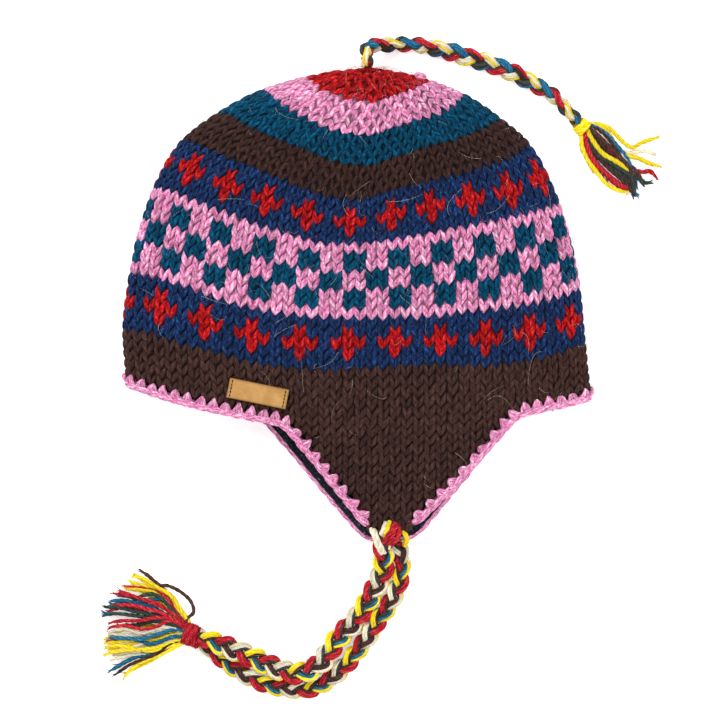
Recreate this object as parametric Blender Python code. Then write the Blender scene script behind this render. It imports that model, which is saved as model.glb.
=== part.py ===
"""A knitted chullo hat with two ear flaps, lying flat on its far side.

X runs across the hat from the front fold to the back fold, +Y from the flap tips to
the crown, and +Z up from the surface that the hat lies on. All lengths are in metres.

The knitted dome is one surface with two coordinates. The turn goes round the hat: 0 at
the left fold, 1 at the middle of the near side, 2 at the right fold, 3 at the middle of
the far side. The row counts knitted rows up from the rim, and is negative on the flaps.
"""

import math

import bmesh
import bpy
import numpy as np

# Sizes of the knitted dome as it lies
RIM_WIDTH = 0.2808
CROWN_HEIGHT = 0.1854
BODY_HEIGHT = 0.060
SIDE_ROLL = 0.024
KNIT_WALL = 0.0050
ROW_PITCH = 0.0057

# Sizes of the ear flaps. The far flap has a blunter tip and lies further out than the near
# one. The near flap falls towards the surface, partly evenly and partly in a soft bend.
FLAP_HALF_WIDTH = 0.0722
FLAP_DROP = 0.062
FLAP_OFFSET = 0.0207
FLAP_TIP_HALF = 0.0073
FLAP_CORNER = 0.006
FLAP_TIP_HEIGHT = 0.0168
FLAP_FALL_LIMIT = 1.2
FLAP_EVEN_FALL = 0.4
FAR_FLAP_SLIP = 0.007
FAR_FLAP_OFFSET = 0.0192
FAR_FLAP_TIP_HALF = 0.0125

# Sizes of the lining, the edging and the label
LINING_WALL = 0.0020
LINING_OVERLAP = 0.0040
EDGING_WIDTH = 0.0070
EDGING_ROUND_SHARE = 0.28
MITRE_LIMIT = 0.6
LABEL_LENGTH = 0.0360
LABEL_WIDTH = 0.0120
LABEL_THICKNESS = 0.0015
LABEL_ACROSS_SHARE = -0.4245
LABEL_DOWN_SHARE = 1.0545
LABEL_TILT = math.radians(-11.5)

# Sizes of the braids, their bindings and their tassels
CROWN_BRAID_DIAMETER = 0.0090
TIE_BRAID_DIAMETER = 0.0105
CROWN_WRAP_LENGTH = 0.0036
CROWN_WRAP_WIDTH = 0.0084
CROWN_WRAP_HEIGHT = 0.0072
TIE_WRAP_LENGTH = 0.0078
TIE_WRAP_WIDTH = 0.0120
TIE_WRAP_HEIGHT = 0.0078
TASSEL_HEAD_LENGTH = 0.0030
CROWN_TASSEL_LENGTH = 0.0480
TIE_TASSEL_LENGTH = 0.0500
LOCK_THICKNESS = 0.0030
LOCK_FILL = 0.80
LOCK_TIP = 0.55
LOCK_INSET = 0.12
LOCK_ROOT_SHARE = 0.4
LOCK_FLAT_FROM = 0.4
LOCK_LIES_FROM = 0.625
LOCK_FALL_POWER = 1.5
HEAD_WIDTH_SHARE = 0.86
HEAD_HEIGHT_SHARE = 0.62
WRAP_END_SHARE = 0.86

# Fits
GAP = 0.0003
LABEL_GAP = 0.0005

# How finely the surfaces are divided
COLUMNS = 60
LOWER_RINGS = 7
BAND_ROW = 10.0
UPPER_ROWS = (12.5, 15.0, 17.5, 20.0, 22.5, 25.0, 27.0, 29.0, 31.0, 33.0, 34.5, 35.7, 36.5)
CROWN_ROW = 37.0
LATTICE_ROWS = 149
LATTICE_STEPS = 24
FOLD_DENSITY = 0.9
FOLD_REACH = 0.16
FLAP_DENSITY = 0.7
FLAP_REACH = 0.48
TUBE_SPACING = 1.2
LOCK_STEPS = 6
WRAP_SIDES = 12

# The knitted rows where the outline was taken. Across is a share of half of RIM_WIDTH,
# down a share of CROWN_HEIGHT, top, fold and low are shares of BODY_HEIGHT, and bow is
# the power that bends a row: 1 comes to a point at the middle, 2 is a round bow.
# row, left across, left down, middle across, middle down, right across, right down,
# top, fold, low, bow
LEVELS = (
    (0.0, -1.000, 1.000, 0.009, 1.136, 1.000, 1.045, 0.72, 0.34, 0.00, 2.00),
    (5.0, -1.013, 0.851, 0.009, 0.974, 0.979, 0.893, 0.80, 0.37, 0.00, 2.00),
    (10.0, -0.983, 0.663, 0.009, 0.806, 0.953, 0.702, 0.88, 0.39, 0.00, 2.00),
    (18.0, -0.880, 0.388, 0.009, 0.570, 0.863, 0.430, 0.98, 0.42, 0.00, 1.45),
    (23.0, -0.761, 0.236, 0.017, 0.430, 0.735, 0.243, 1.00, 0.43, 0.00, 1.20),
    (27.0, -0.624, 0.155, 0.038, 0.317, 0.607, 0.159, 0.97, 0.44, 0.00, 1.25),
    (30.0, -0.440, 0.078, 0.051, 0.217, 0.449, 0.081, 0.90, 0.44, 0.04, 1.35),
    (33.0, -0.248, 0.032, 0.064, 0.110, 0.308, 0.039, 0.77, 0.44, 0.14, 1.40),
    (35.0, -0.103, 0.010, 0.058, 0.039, 0.184, 0.013, 0.62, 0.44, 0.27, 1.50),
    (37.0, 0.043, 0.000, 0.043, 0.000, 0.043, 0.000, 0.44, 0.44, 0.44, 1.60),
)
NEAR_POWER = 2.4
FAR_BOW = 0.95
# The four quarters of a row, in turn: on the left, from a fold, on the near side
QUARTERS = ((True, True, True), (False, False, True), (False, True, False), (True, False, False))

# The routes of the cords, from the place where each leaves the hat: across and along
# from there, and the height of its middle above the surface that it lies on
CROWN_ROUTE = (
    (0.0000, 0.0000, 0.0262),
    (-0.0004, 0.0055, 0.0250),
    (0.0000, 0.0108, 0.0205),
    (0.0038, 0.0142, 0.0140),
    (0.0110, 0.0158, 0.0075),
    (0.0210, 0.0162, 0.0052),
    (0.0342, 0.0146, 0.0047),
    (0.0468, 0.0118, 0.0047),
    (0.0600, 0.0070, 0.0047),
    (0.0730, 0.0030, 0.0047),
    (0.0860, -0.0022, 0.0047),
    (0.0992, -0.0088, 0.0047),
    (0.1124, -0.0170, 0.0047),
    (0.1215, -0.0258, 0.0047),
)
NEAR_ROUTE = (
    (0.0000, 0.0000, 0.0148),
    (0.0000, -0.0090, 0.0130),
    (0.0006, -0.0195, 0.0078),
    (-0.0024, -0.0303, 0.0058),
    (-0.0072, -0.0387, 0.0056),
    (-0.0116, -0.0462, 0.0056),
    (-0.0180, -0.0550, 0.0056),
    (-0.0252, -0.0622, 0.0060),
    (-0.0312, -0.0704, 0.0072),
    (-0.0366, -0.0780, 0.0096),
    (-0.0426, -0.0828, 0.0108),
    (-0.0504, -0.0836, 0.0102),
    (-0.0576, -0.0811, 0.0080),
    (-0.0666, -0.0775, 0.0066),
    (-0.0762, -0.0739, 0.0070),
    (-0.0852, -0.0703, 0.0090),
    (-0.0942, -0.0667, 0.0114),
    (-0.1026, -0.0632, 0.0134),
    (-0.1098, -0.0608, 0.0142),
)
FAR_ROUTE = (
    (0.0000, 0.0000, 0.0056),
    (0.0030, -0.0080, 0.0055),
    (0.0030, -0.0168, 0.0055),
    (0.0008, -0.0262, 0.0055),
    (-0.0040, -0.0366, 0.0055),
    (-0.0112, -0.0470, 0.0055),
    (-0.0180, -0.0578, 0.0055),
    (-0.0260, -0.0684, 0.0055),
    (-0.0336, -0.0766, 0.0055),
    (-0.0420, -0.0838, 0.0055),
    (-0.0522, -0.0880, 0.0055),
    (-0.0612, -0.0886, 0.0055),
    (-0.0702, -0.0874, 0.0055),
    (-0.0822, -0.0838, 0.0055),
    (-0.0942, -0.0778, 0.0055),
    (-0.1026, -0.0730, 0.0055),
    (-0.1110, -0.0676, 0.0055),
    (-0.1188, -0.0636, 0.0055),
)
NEAR_EXIT_ACROSS = 0.0150
FAR_EXIT_ACROSS = 0.0234
EXIT_GAP = 0.0008

# The locks of each tassel, from its first side to its last: the angle from the tassel's
# own direction in degrees, the length as a share of the tassel's, and the height of the
# lock where it lies
CROWN_LOCKS = (
    (44.0, 0.98, 0.0026),
    (31.0, 0.92, 0.0026),
    (18.0, 1.02, 0.0026),
    (5.0, 0.94, 0.0026),
    (-8.0, 1.04, 0.0026),
    (-21.0, 0.86, 0.0026),
)
NEAR_LOCKS = (
    (34.0, 0.92, 0.0066),
    (21.0, 0.90, 0.0066),
    (8.0, 0.96, 0.0066),
    (-5.0, 1.00, 0.0066),
    (-18.0, 0.98, 0.0066),
    (-32.0, 0.94, 0.0066),
    (-46.0, 0.98, 0.0060),
)
FAR_LOCKS = (
    (32.0, 0.94, 0.0026),
    (20.0, 0.90, 0.0026),
    (8.0, 0.98, 0.0026),
    (-4.0, 0.92, 0.0026),
    (-16.0, 0.96, 0.0026),
)

# Colours as linear RGB
BROWN = (0.045, 0.020, 0.016)
BLACK = (0.016, 0.018, 0.026)
PINK = (0.83, 0.27, 0.46)
TAN = (0.61, 0.33, 0.11)
BRAID_RED = (0.50, 0.02, 0.02)
YELLOW = (0.95, 0.75, 0.02)


def monotone_slopes(places, values):
    """The slopes at each place of a cubic through the values that never overshoots."""
    steps = np.diff(places)
    rises = np.diff(values) / steps
    slopes = np.empty(len(values))
    slopes[0], slopes[-1] = rises[0], rises[-1]
    for i in range(1, len(values) - 1):
        before, after = rises[i - 1], rises[i]
        if before * after <= 0:
            slopes[i] = 0.0
        else:
            first = 2 * steps[i] + steps[i - 1]
            second = steps[i] + 2 * steps[i - 1]
            slopes[i] = (first + second) / (first / before + second / after)
    return slopes


def level_values(rows):
    """The columns of LEVELS at each of the given rows, as smooth curves."""
    table = np.array(LEVELS)
    places = table[:, 0]
    index = np.clip(np.searchsorted(places, rows, side="right") - 1, 0, len(places) - 2)
    width = places[index + 1] - places[index]
    t = (rows - places[index]) / width
    columns = []
    for values in table[:, 1:].T:
        slopes = monotone_slopes(places, values)
        columns.append(
            (2 * t**3 - 3 * t**2 + 1) * values[index]
            + (t**3 - 2 * t**2 + t) * width * slopes[index]
            + (3 * t**2 - 2 * t**3) * values[index + 1]
            + (t**3 - t**2) * width * slopes[index + 1]
        )
    return np.array(columns).T


def near_section(share, top, fold):
    """The height of the near side at a share of the way from its middle to a fold."""
    return fold + (top - fold) * np.sqrt(np.maximum(0.0, 1 - share**NEAR_POWER))


def far_section(share, low, fold, half_width):
    """The height of the far side: flat in the middle and rolled up towards the folds."""
    roll = min(1.0, SIDE_ROLL / max(half_width, 1e-6))
    past = np.maximum(0.0, (share - (1 - roll)) / roll)
    return fold - (fold - low) * np.sqrt(np.maximum(0.0, 1 - past**2))


def row_loop(values):
    """One row's closed line, in four quarters that each start where the last one ends."""
    left, left_down, middle, middle_down, right, right_down, top, fold, low, bow = values
    half = RIM_WIDTH / 2
    turn = np.linspace(0.0, math.pi / 2, LATTICE_STEPS + 1)
    quarters = []
    for on_left, from_fold, near in QUARTERS:
        share = np.cos(turn) if from_fold else np.sin(turn)
        across, down = (left, left_down) if on_left else (right, right_down)
        deep = middle_down if near else down + FAR_BOW * (middle_down - down)
        x = half * (middle + (across - middle) * share)
        y = -CROWN_HEIGHT * (down + (deep - down) * (1 - share**bow))
        if near:
            z = near_section(share, top * BODY_HEIGHT, fold * BODY_HEIGHT)
        else:
            width = half * abs(across - middle)
            z = far_section(share, low * BODY_HEIGHT, fold * BODY_HEIGHT, width)
        quarters.append(np.stack([x, y, z], axis=1))
    return quarters


def evenly(line, count):
    """The line again as count + 1 points, evenly spaced along it."""
    lengths = np.linalg.norm(np.diff(line, axis=0), axis=1)
    along = np.concatenate([[0.0], np.cumsum(lengths)])
    wanted = np.linspace(0.0, along[-1], count + 1)
    return np.stack([np.interp(wanted, along, line[:, k]) for k in range(3)], axis=1)


def build_lattice():
    """The dome as a table of points, even in rows and even along each quarter of a row."""
    rows = np.linspace(0.0, CROWN_ROW, LATTICE_ROWS)
    lattice = []
    for values in level_values(rows):
        quarters = [evenly(quarter, LATTICE_STEPS)[:-1] for quarter in row_loop(values)]
        lattice.append(np.concatenate(quarters))
    return np.array(lattice)


LATTICE = build_lattice()


def dome(turn, row):
    """Points of the dome's outer surface at a turn from 0 to 4 and a row from 0 up."""
    across = np.mod(turn, 4.0) * LATTICE_STEPS
    up = np.clip(row, 0.0, CROWN_ROW) / CROWN_ROW * (LATTICE_ROWS - 1)
    i = np.minimum(up.astype(int), LATTICE_ROWS - 2)
    j = across.astype(int) % (4 * LATTICE_STEPS)
    after = (j + 1) % (4 * LATTICE_STEPS)
    s, t = (up - i)[..., None], (across - np.floor(across))[..., None]
    low = LATTICE[i, j] * (1 - t) + LATTICE[i, after] * t
    high = LATTICE[i + 1, j] * (1 - t) + LATTICE[i + 1, after] * t
    return low * (1 - s) + high * s


def surface(turn, row):
    """Points of the whole outer surface. Below the rim it runs on down the ear flaps."""
    turn, row = np.broadcast_arrays(np.asarray(turn, float), np.asarray(row, float))
    points = dome(turn, np.maximum(row, 0.0))
    drop = np.maximum(-row, 0.0) * ROW_PITCH
    points[..., 1] -= drop
    near = np.mod(turn, 4.0) <= 2.0
    t = np.clip(drop / FLAP_DROP, 0.0, FLAP_FALL_LIMIT)
    sunk = FLAP_EVEN_FALL * t + (1 - FLAP_EVEN_FALL) * (3 * t**2 - 2 * t**3)
    fall = np.maximum(points[..., 2] - FLAP_TIP_HEIGHT, 0.0) * sunk
    points[..., 2] -= np.where(near, fall, 0.0)
    return points


def surface_normals(turn, row):
    """Unit normals of the outer surface, pointing out."""
    step_turn, step_row = 0.02, 0.25
    ahead, behind = surface(turn + step_turn, row), surface(turn - step_turn, row)
    above = surface(turn, np.minimum(row + step_row, CROWN_ROW - 0.05))
    below = surface(turn, row - step_row)
    normals = np.cross(ahead - behind, above - below)
    return normals / np.maximum(np.linalg.norm(normals, axis=-1, keepdims=True), 1e-12)


def soft_positive(value, softness):
    """The value where it is positive and 0 where it isn't, with a soft corner."""
    return (value + np.sqrt(value**2 + softness**2)) / 2


def edge_rows(turns):
    """The row where the knitting ends at each turn: 0 on the rim, less on the flaps."""
    x = surface(turns, 0.0)[..., 0]
    near = np.mod(turns, 4.0) <= 2.0
    middle = np.where(near, FLAP_OFFSET, FAR_FLAP_OFFSET)
    tip = np.where(near, FLAP_TIP_HALF, FAR_FLAP_TIP_HALF)
    deep = FLAP_DROP + np.where(near, 0.0, FAR_FLAP_SLIP)
    slope = deep / (FLAP_HALF_WIDTH - tip)
    side = soft_positive(slope * (FLAP_HALF_WIDTH - np.abs(x - middle)), FLAP_CORNER)
    drop = deep - soft_positive(deep - side, FLAP_CORNER / 2)
    return -drop / ROW_PITCH


def column_turns():
    """Where the columns stand: closer together round the folds and along the flaps."""
    fine = np.linspace(0.0, 4.0, 2001)
    from_fold = np.abs(np.mod(fine + 1.0, 2.0) - 1.0)
    from_flap = np.abs(np.mod(fine, 2.0) - (1.0 + FLAP_OFFSET / RIM_WIDTH * 2))
    by_fold = FOLD_DENSITY * np.exp(-((from_fold / FOLD_REACH) ** 2))
    density = 1.0 + by_fold + FLAP_DENSITY * (from_flap < FLAP_REACH)
    total = np.concatenate([[0.0], np.cumsum((density[1:] + density[:-1]) / 2)])
    return np.interp(np.arange(COLUMNS) * total[-1] / COLUMNS, total, fine)


TURNS = column_turns()
EDGE_ROWS = edge_rows(TURNS)


def ring_rows():
    """The row of each ring at each column, from the edge up, without the crown's point."""
    shares = np.linspace(0.0, 1.0, LOWER_RINGS + 1)[:, None]
    lower = EDGE_ROWS * (1 - shares) + BAND_ROW * shares
    upper = np.repeat(np.array(UPPER_ROWS)[:, None], COLUMNS, axis=1)
    return np.concatenate([lower, upper])


RING_ROWS = ring_rows()
RINGS = surface(TURNS[None, :], RING_ROWS)
RING_NORMALS = surface_normals(TURNS[None, :], RING_ROWS)
CROWN_POINT = dome(np.array(0.0), np.array(CROWN_ROW))


def edge_outward():
    """At each column, the way out of the cloth along its surface, and how far a unit of
    width reaches there so that the strip beside the edge stays as wide round corners."""
    edge, normals = RINGS[0], RING_NORMALS[0]
    ahead = np.roll(edge, -1, axis=0) - edge
    ahead /= np.linalg.norm(ahead, axis=1, keepdims=True)
    out = np.cross(ahead, normals)
    out /= np.linalg.norm(out, axis=1, keepdims=True)
    before = np.roll(out, 1, axis=0)
    both = out + before
    return both / np.maximum(1 + (out * before).sum(1, keepdims=True), MITRE_LIMIT)


OUTWARD = edge_outward()

hat_frame = None


def new_object(name, data, material):
    """An object on the hat's frame, with its material."""
    data.materials.append(material)
    made = bpy.data.objects.new(name, data)
    bpy.context.scene.collection.objects.link(made)
    made.parent = hat_frame
    return made


def plain_material(name, colour, roughness):
    """A plain material of one colour."""
    material = bpy.data.materials.new(name)
    material.use_nodes = True
    shader = material.node_tree.nodes["Principled BSDF"]
    shader.inputs["Base Color"].default_value = (*colour, 1.0)
    shader.inputs["Roughness"].default_value = roughness
    return material


def closed_object(name, mesh_builder, material):
    """Turns the faces of a closed bmesh outwards and makes a smooth object of it."""
    bmesh.ops.recalc_face_normals(mesh_builder, faces=mesh_builder.faces)
    mesh = bpy.data.meshes.new(name)
    mesh_builder.to_mesh(mesh)
    mesh_builder.free()
    mesh.shade_smooth()
    mesh.set_sharp_from_angle(angle=math.radians(50))
    return new_object(name, mesh, material)


def add_rings(builder, rings):
    """The vertices of a grid of points, ring by ring."""
    return [[builder.verts.new(point) for point in ring] for ring in rings]


def join_rings(builder, low, high):
    """Faces between two closed rings of vertices."""
    for i in range(len(low)):
        after = (i + 1) % len(low)
        builder.faces.new((low[i], low[after], high[after], high[i]))


def cloth_wall(name, outer, inner, outer_point, inner_point, material):
    """A wall of cloth between two grids, closed at its edge and open or pointed above."""
    builder = bmesh.new()
    outside, inside = add_rings(builder, outer), add_rings(builder, inner)
    for rings in (outside, inside):
        for low, high in zip(rings[:-1], rings[1:]):
            join_rings(builder, low, high)
    join_rings(builder, inside[0], outside[0])
    if outer_point is None:
        join_rings(builder, outside[-1], inside[-1])
    else:
        for rings, point in ((outside, outer_point), (inside, inner_point)):
            tip, ring = builder.verts.new(point), rings[-1]
            for i in range(len(ring)):
                builder.faces.new((ring[i], ring[(i + 1) % len(ring)], tip))
    return closed_object(name, builder, material)


def knitted_shell():
    """The knitted dome with its two ear flaps, hollow and open at the rim."""
    inner = RINGS - KNIT_WALL * RING_NORMALS
    inner_point = CROWN_POINT - KNIT_WALL * np.array([0.0, 1.0, 0.0])
    wool = plain_material("brown wool", BROWN, 0.95)
    return cloth_wall("knitted_shell", RINGS, inner, CROWN_POINT, inner_point, wool)


def fleece_lining():
    """The dark fleece band inside the rim and the flaps, lapping over the edging."""
    count = LOWER_RINGS + 1
    lapped = RINGS[:1] + LINING_OVERLAP * OUTWARD
    face = np.concatenate([lapped, RINGS[:count]])
    normals = np.concatenate([RING_NORMALS[:1], RING_NORMALS[:count]])
    outer = face - (KNIT_WALL + GAP) * normals
    inner = outer - LINING_WALL * normals
    fleece = plain_material("black fleece", BLACK, 1.0)
    return cloth_wall("fleece_lining", outer, inner, None, None, fleece)


def edging_profile():
    """The edging's section: how far out from the knitting, and how far in from its face."""
    near, far, cut = GAP, EDGING_WIDTH, EDGING_ROUND_SHARE * KNIT_WALL
    return (
        (near, cut),
        (near + cut, 0.0),
        (far - cut, 0.0),
        (far, cut),
        (far, KNIT_WALL - cut),
        (far - cut, KNIT_WALL),
        (near + cut, KNIT_WALL),
        (near, KNIT_WALL - cut),
    )


def edging_rings():
    """The edging's points, section by section round the rim and both flaps."""
    edge, normals = RINGS[0], RING_NORMALS[0]
    rings = [edge + out * OUTWARD - depth * normals for out, depth in edging_profile()]
    rings = np.array(rings)
    rings[..., 2] = np.maximum(rings[..., 2], 0.0)
    return rings


def crochet_edging():
    """The pink crocheted edging all the way round."""
    builder = bmesh.new()
    rings = add_rings(builder, edging_rings())
    for low, high in zip(rings, rings[1:] + rings[:1]):
        join_rings(builder, low, high)
    wool = plain_material("pink wool", PINK, 0.95)
    return closed_object("crochet_edging", builder, wool)


def near_place(x, y):
    """The turn and row of the near side's point that lies above x, y."""
    turns = np.linspace(0.0, 2.0, 81)
    low, high = np.zeros(81), np.full(81, CROWN_ROW - 1)
    for _ in range(40):
        middle = (low + high) / 2
        above = surface(turns, middle)[:, 1] < y
        low, high = np.where(above, middle, low), np.where(above, high, middle)
    turn = float(np.interp(x, surface(turns, low)[:, 0], turns))
    return turn, float(np.interp(turn, turns, low))


def label_patch():
    """The small leather label, following the knitting that it is sewn to."""
    along, up = np.linspace(-0.5, 0.5, 9) * LABEL_LENGTH, np.linspace(-0.5, 0.5, 4) * LABEL_WIDTH
    across, down = LABEL_ACROSS_SHARE * RIM_WIDTH / 2, LABEL_DOWN_SHARE * CROWN_HEIGHT
    lower, upper = [], []
    for v in up:
        for u in along:
            x = across + u * math.cos(LABEL_TILT) - v * math.sin(LABEL_TILT)
            y = -down + u * math.sin(LABEL_TILT) + v * math.cos(LABEL_TILT)
            turn, row = np.array(near_place(x, y))
            point, normal = surface(turn, row), surface_normals(turn, row)
            lower.append(point + LABEL_GAP * normal)
            upper.append(point + (LABEL_GAP + LABEL_THICKNESS) * normal)
    builder = bmesh.new()
    layers = [[builder.verts.new(point) for point in layer] for layer in (lower, upper)]
    count = len(along)
    for layer in layers:
        for i in range(len(up) - 1):
            for j in range(count - 1):
                k = i * count + j
                builder.faces.new((layer[k], layer[k + 1], layer[k + count + 1], layer[k + count]))
    border = [edge for edge in builder.edges if edge.is_boundary]
    bmesh.ops.bridge_loops(builder, edges=border)
    leather = plain_material("tan leather", TAN, 0.6)
    return closed_object("label_patch", builder, leather)


def smooth_route(points, spacing):
    """Points about a spacing apart on the smooth curve through the given ones."""
    points = np.array(points)
    padded = np.concatenate([[2 * points[0] - points[1]], points, [2 * points[-1] - points[-2]]])
    fine = []
    for i in range(1, len(padded) - 2):
        a, b, c, d = padded[i - 1 : i + 3]
        for t in np.arange(0.0, 1.0, 0.1):
            fine.append(
                0.5
                * (
                    2 * b
                    + (c - a) * t
                    + (2 * a - 5 * b + 4 * c - d) * t**2
                    + (3 * b - a - 3 * c + d) * t**3
                )
            )
    fine.append(points[-1])
    fine = np.array(fine)
    length = np.linalg.norm(np.diff(fine, axis=0), axis=1).sum()
    return evenly(fine, max(2, round(length / spacing)))


def braid_tube(name, route, diameter, material):
    """A braid as a plain tube along its route."""
    points = smooth_route(route, TUBE_SPACING * diameter)
    curve = bpy.data.curves.new(name, "CURVE")
    curve.dimensions = "3D"
    curve.bevel_depth = diameter / 2
    curve.bevel_resolution = 2
    curve.use_fill_caps = True
    spline = curve.splines.new("POLY")
    spline.points.add(len(points) - 1)
    for place, point in zip(spline.points, points):
        place.co = (*point, 1.0)
    return new_object(name, curve, material), points


def end_frame(points):
    """The end of a route, with the ways on, across and up from there."""
    forward = points[-1] - points[-2]
    forward[2] = 0.0
    forward /= np.linalg.norm(forward)
    across = np.array([-forward[1], forward[0], 0.0])
    return points[-1], forward, across, np.array([0.0, 0.0, 1.0])


def binding(name, points, length, width, height, material):
    """The wound binding at the end of a braid, as a short oval drum."""
    start, forward, across, up = end_frame(points)
    builder = bmesh.new()
    rings = []
    for share, swell in ((0.0, WRAP_END_SHARE), (0.2, 1.0), (0.8, 1.0), (1.0, WRAP_END_SHARE)):
        centre = start + (2 * GAP + share * length) * forward
        ring = []
        for i in range(WRAP_SIDES):
            turn = 2 * math.pi * i / WRAP_SIDES
            side = swell * width / 2 * math.cos(turn) * across
            ring.append(centre + side + swell * height / 2 * math.sin(turn) * up)
        rings.append(ring)
    made = add_rings(builder, rings)
    for low, high in zip(made[:-1], made[1:]):
        join_rings(builder, low, high)
    builder.faces.new(made[0])
    builder.faces.new(made[-1])
    return closed_object(name, builder, material)


def lock_place(turn, reach, root, forward, across):
    """The middle of a lock at a reach from its root, and the way across it there."""
    place = root + reach * (math.cos(turn) * forward + math.sin(turn) * across)
    return place, math.cos(turn) * across - math.sin(turn) * forward


# The corners of a lock's section: its side across the tassel, and below or above
CORNERS = ((1.0, -1.0), (-1.0, -1.0), (-1.0, 1.0), (1.0, 1.0))


def corner_order(face, across):
    """A square face's corners in the order of CORNERS."""
    centre = np.array(face.calc_center_median())
    found = {}
    for vert in face.verts:
        offset = np.array(vert.co) - centre
        found[math.copysign(1, offset @ across), math.copysign(1, offset[2])] = vert
    return [found[corner] for corner in CORNERS]


def tassel(name, points, wrap_length, width, height, length, locks, material):
    """A tassel: locks of yarn that spread from a short head."""
    start, forward, across, up = end_frame(points)
    front = start + (3 * GAP + wrap_length + TASSEL_HEAD_LENGTH) * forward
    cell = width / len(locks)
    builder = bmesh.new()
    low, high = [], []
    for i in range(len(locks) + 1):
        side = (width / 2 - i * cell) * across
        low.append(builder.verts.new(front + side - height / 2 * up))
        high.append(builder.verts.new(front + side + height / 2 * up))
    cells = []
    for i in range(len(locks)):
        cells.append(builder.faces.new((low[i], low[i + 1], high[i + 1], high[i])))
    made = bmesh.ops.extrude_face_region(builder, geom=cells, use_keep_orig=True)
    back = [item for item in made["geom"] if isinstance(item, bmesh.types.BMVert)]
    bmesh.ops.translate(builder, verts=back, vec=-TASSEL_HEAD_LENGTH * forward)
    bmesh.ops.inset_individual(builder, faces=cells, thickness=cell * LOCK_INSET)
    angles = [math.radians(lock[0]) for lock in locks]
    opening = abs(angles[-1] - angles[0]) / (len(locks) - 1)
    for i, face in enumerate(cells):
        long, lie = locks[i][1] * length, locks[i][2]
        root = front + (width / 2 - (i + 0.5) * cell) * across
        ring = corner_order(face, across)
        builder.faces.remove(face)
        for step in range(1, LOCK_STEPS + 1):
            share = step / LOCK_STEPS
            taper = LOCK_TIP if step == LOCK_STEPS else 1.0
            flat = min(1.0, share / LOCK_FLAT_FROM)
            rise = height * LOCK_ROOT_SHARE * (1 - flat) + LOCK_THICKNESS / 2 * flat
            turned = 1 - (1 - share) ** 2
            turn, reach = angles[i] * turned, share * long
            place, sideways = lock_place(turn, reach, root, forward, across)
            fallen = min(1.0, share / LOCK_LIES_FROM) ** LOCK_FALL_POWER
            place[2] = root[2] + (lie - root[2]) * fallen
            spread = LOCK_FILL / 2 * (cell * math.cos(turn) + opening * turned * reach)
            after = []
            for left, top in CORNERS:
                corner = place + taper * (left * spread * sideways + top * rise * up)
                after.append(builder.verts.new(corner))
            join_rings(builder, ring, after)
            ring = after
        builder.faces.new(ring)
    bmesh.ops.triangulate(builder, faces=builder.faces[:])
    return closed_object(name, builder, material)


def flap_exit(across, radius, near):
    """The place just clear of the edging at the tip of the near or the far flap."""
    rings = edging_rings()
    side = (np.mod(TURNS, 4.0) <= 2.0) == near
    reached = rings[:, side][np.abs(rings[:, side][..., 0] - across) < radius]
    return np.array([across, reached[:, 1].min() - EXIT_GAP, 0.0])


def cord(name, exit_place, route, diameter, wrap, tassel_length, locks, materials):
    """A braid with the binding and the tassel at its end."""
    braid, bound, fringe = materials
    points = [exit_place + np.array(step) for step in route]
    _, line = braid_tube(f"{name}_braid", points, diameter, braid)
    wrap_length, width, height = wrap
    binding(f"{name}_wrap", line, wrap_length, width, height, bound)
    head = HEAD_WIDTH_SHARE * width, HEAD_HEIGHT_SHARE * height
    tassel(f"{name}_tassel", line, wrap_length, *head, tassel_length, locks, fringe)


def hat_centre():
    """The middle of the box round the knitting and its edging, on the surface below."""
    points = np.concatenate([RINGS.reshape(-1, 3), edging_rings().reshape(-1, 3), [CROWN_POINT]])
    low, high = points.min(axis=0), points.max(axis=0)
    return (low[0] + high[0]) / 2, (low[1] + high[1]) / 2, low[2]


def clear_scene():
    """Removes what the scene holds."""
    for old in list(bpy.data.objects):
        bpy.data.objects.remove(old)


def main():
    global hat_frame
    clear_scene()
    hat_frame = bpy.data.objects.new("hat_frame", None)
    bpy.context.scene.collection.objects.link(hat_frame)
    hat_frame.location = [-place for place in hat_centre()]
    knitted_shell()
    fleece_lining()
    crochet_edging()
    label_patch()
    braid = plain_material("braided wool", BRAID_RED, 0.9)
    red = plain_material("red binding", BRAID_RED, 0.9)
    yellow = plain_material("yellow binding", YELLOW, 0.9)
    fringe = plain_material("tassel wool", YELLOW, 0.9)
    crown_exit = CROWN_POINT * np.array([1.0, 1.0, 0.0]) + np.array([0.0, EXIT_GAP, 0.0])
    crown_wrap = (CROWN_WRAP_LENGTH, CROWN_WRAP_WIDTH, CROWN_WRAP_HEIGHT)
    tie_wrap = (TIE_WRAP_LENGTH, TIE_WRAP_WIDTH, TIE_WRAP_HEIGHT)
    radius = TIE_BRAID_DIAMETER / 2
    near_exit = flap_exit(NEAR_EXIT_ACROSS, radius, True)
    far_exit = flap_exit(FAR_EXIT_ACROSS, radius, False)
    cord(
        "crown",
        crown_exit,
        CROWN_ROUTE,
        CROWN_BRAID_DIAMETER,
        crown_wrap,
        CROWN_TASSEL_LENGTH,
        CROWN_LOCKS,
        (braid, yellow, fringe),
    )
    cord(
        "near_tie",
        near_exit,
        NEAR_ROUTE,
        TIE_BRAID_DIAMETER,
        tie_wrap,
        TIE_TASSEL_LENGTH,
        NEAR_LOCKS,
        (braid, red, fringe),
    )
    cord(
        "far_tie",
        far_exit,
        FAR_ROUTE,
        TIE_BRAID_DIAMETER,
        tie_wrap,
        TIE_TASSEL_LENGTH,
        FAR_LOCKS,
        (braid, red, fringe),
    )


main()
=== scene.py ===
"""The looks of a knitted chullo hat that lies flat: stitches, crochet, lining, label, braids and tassels."""

import math

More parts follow.
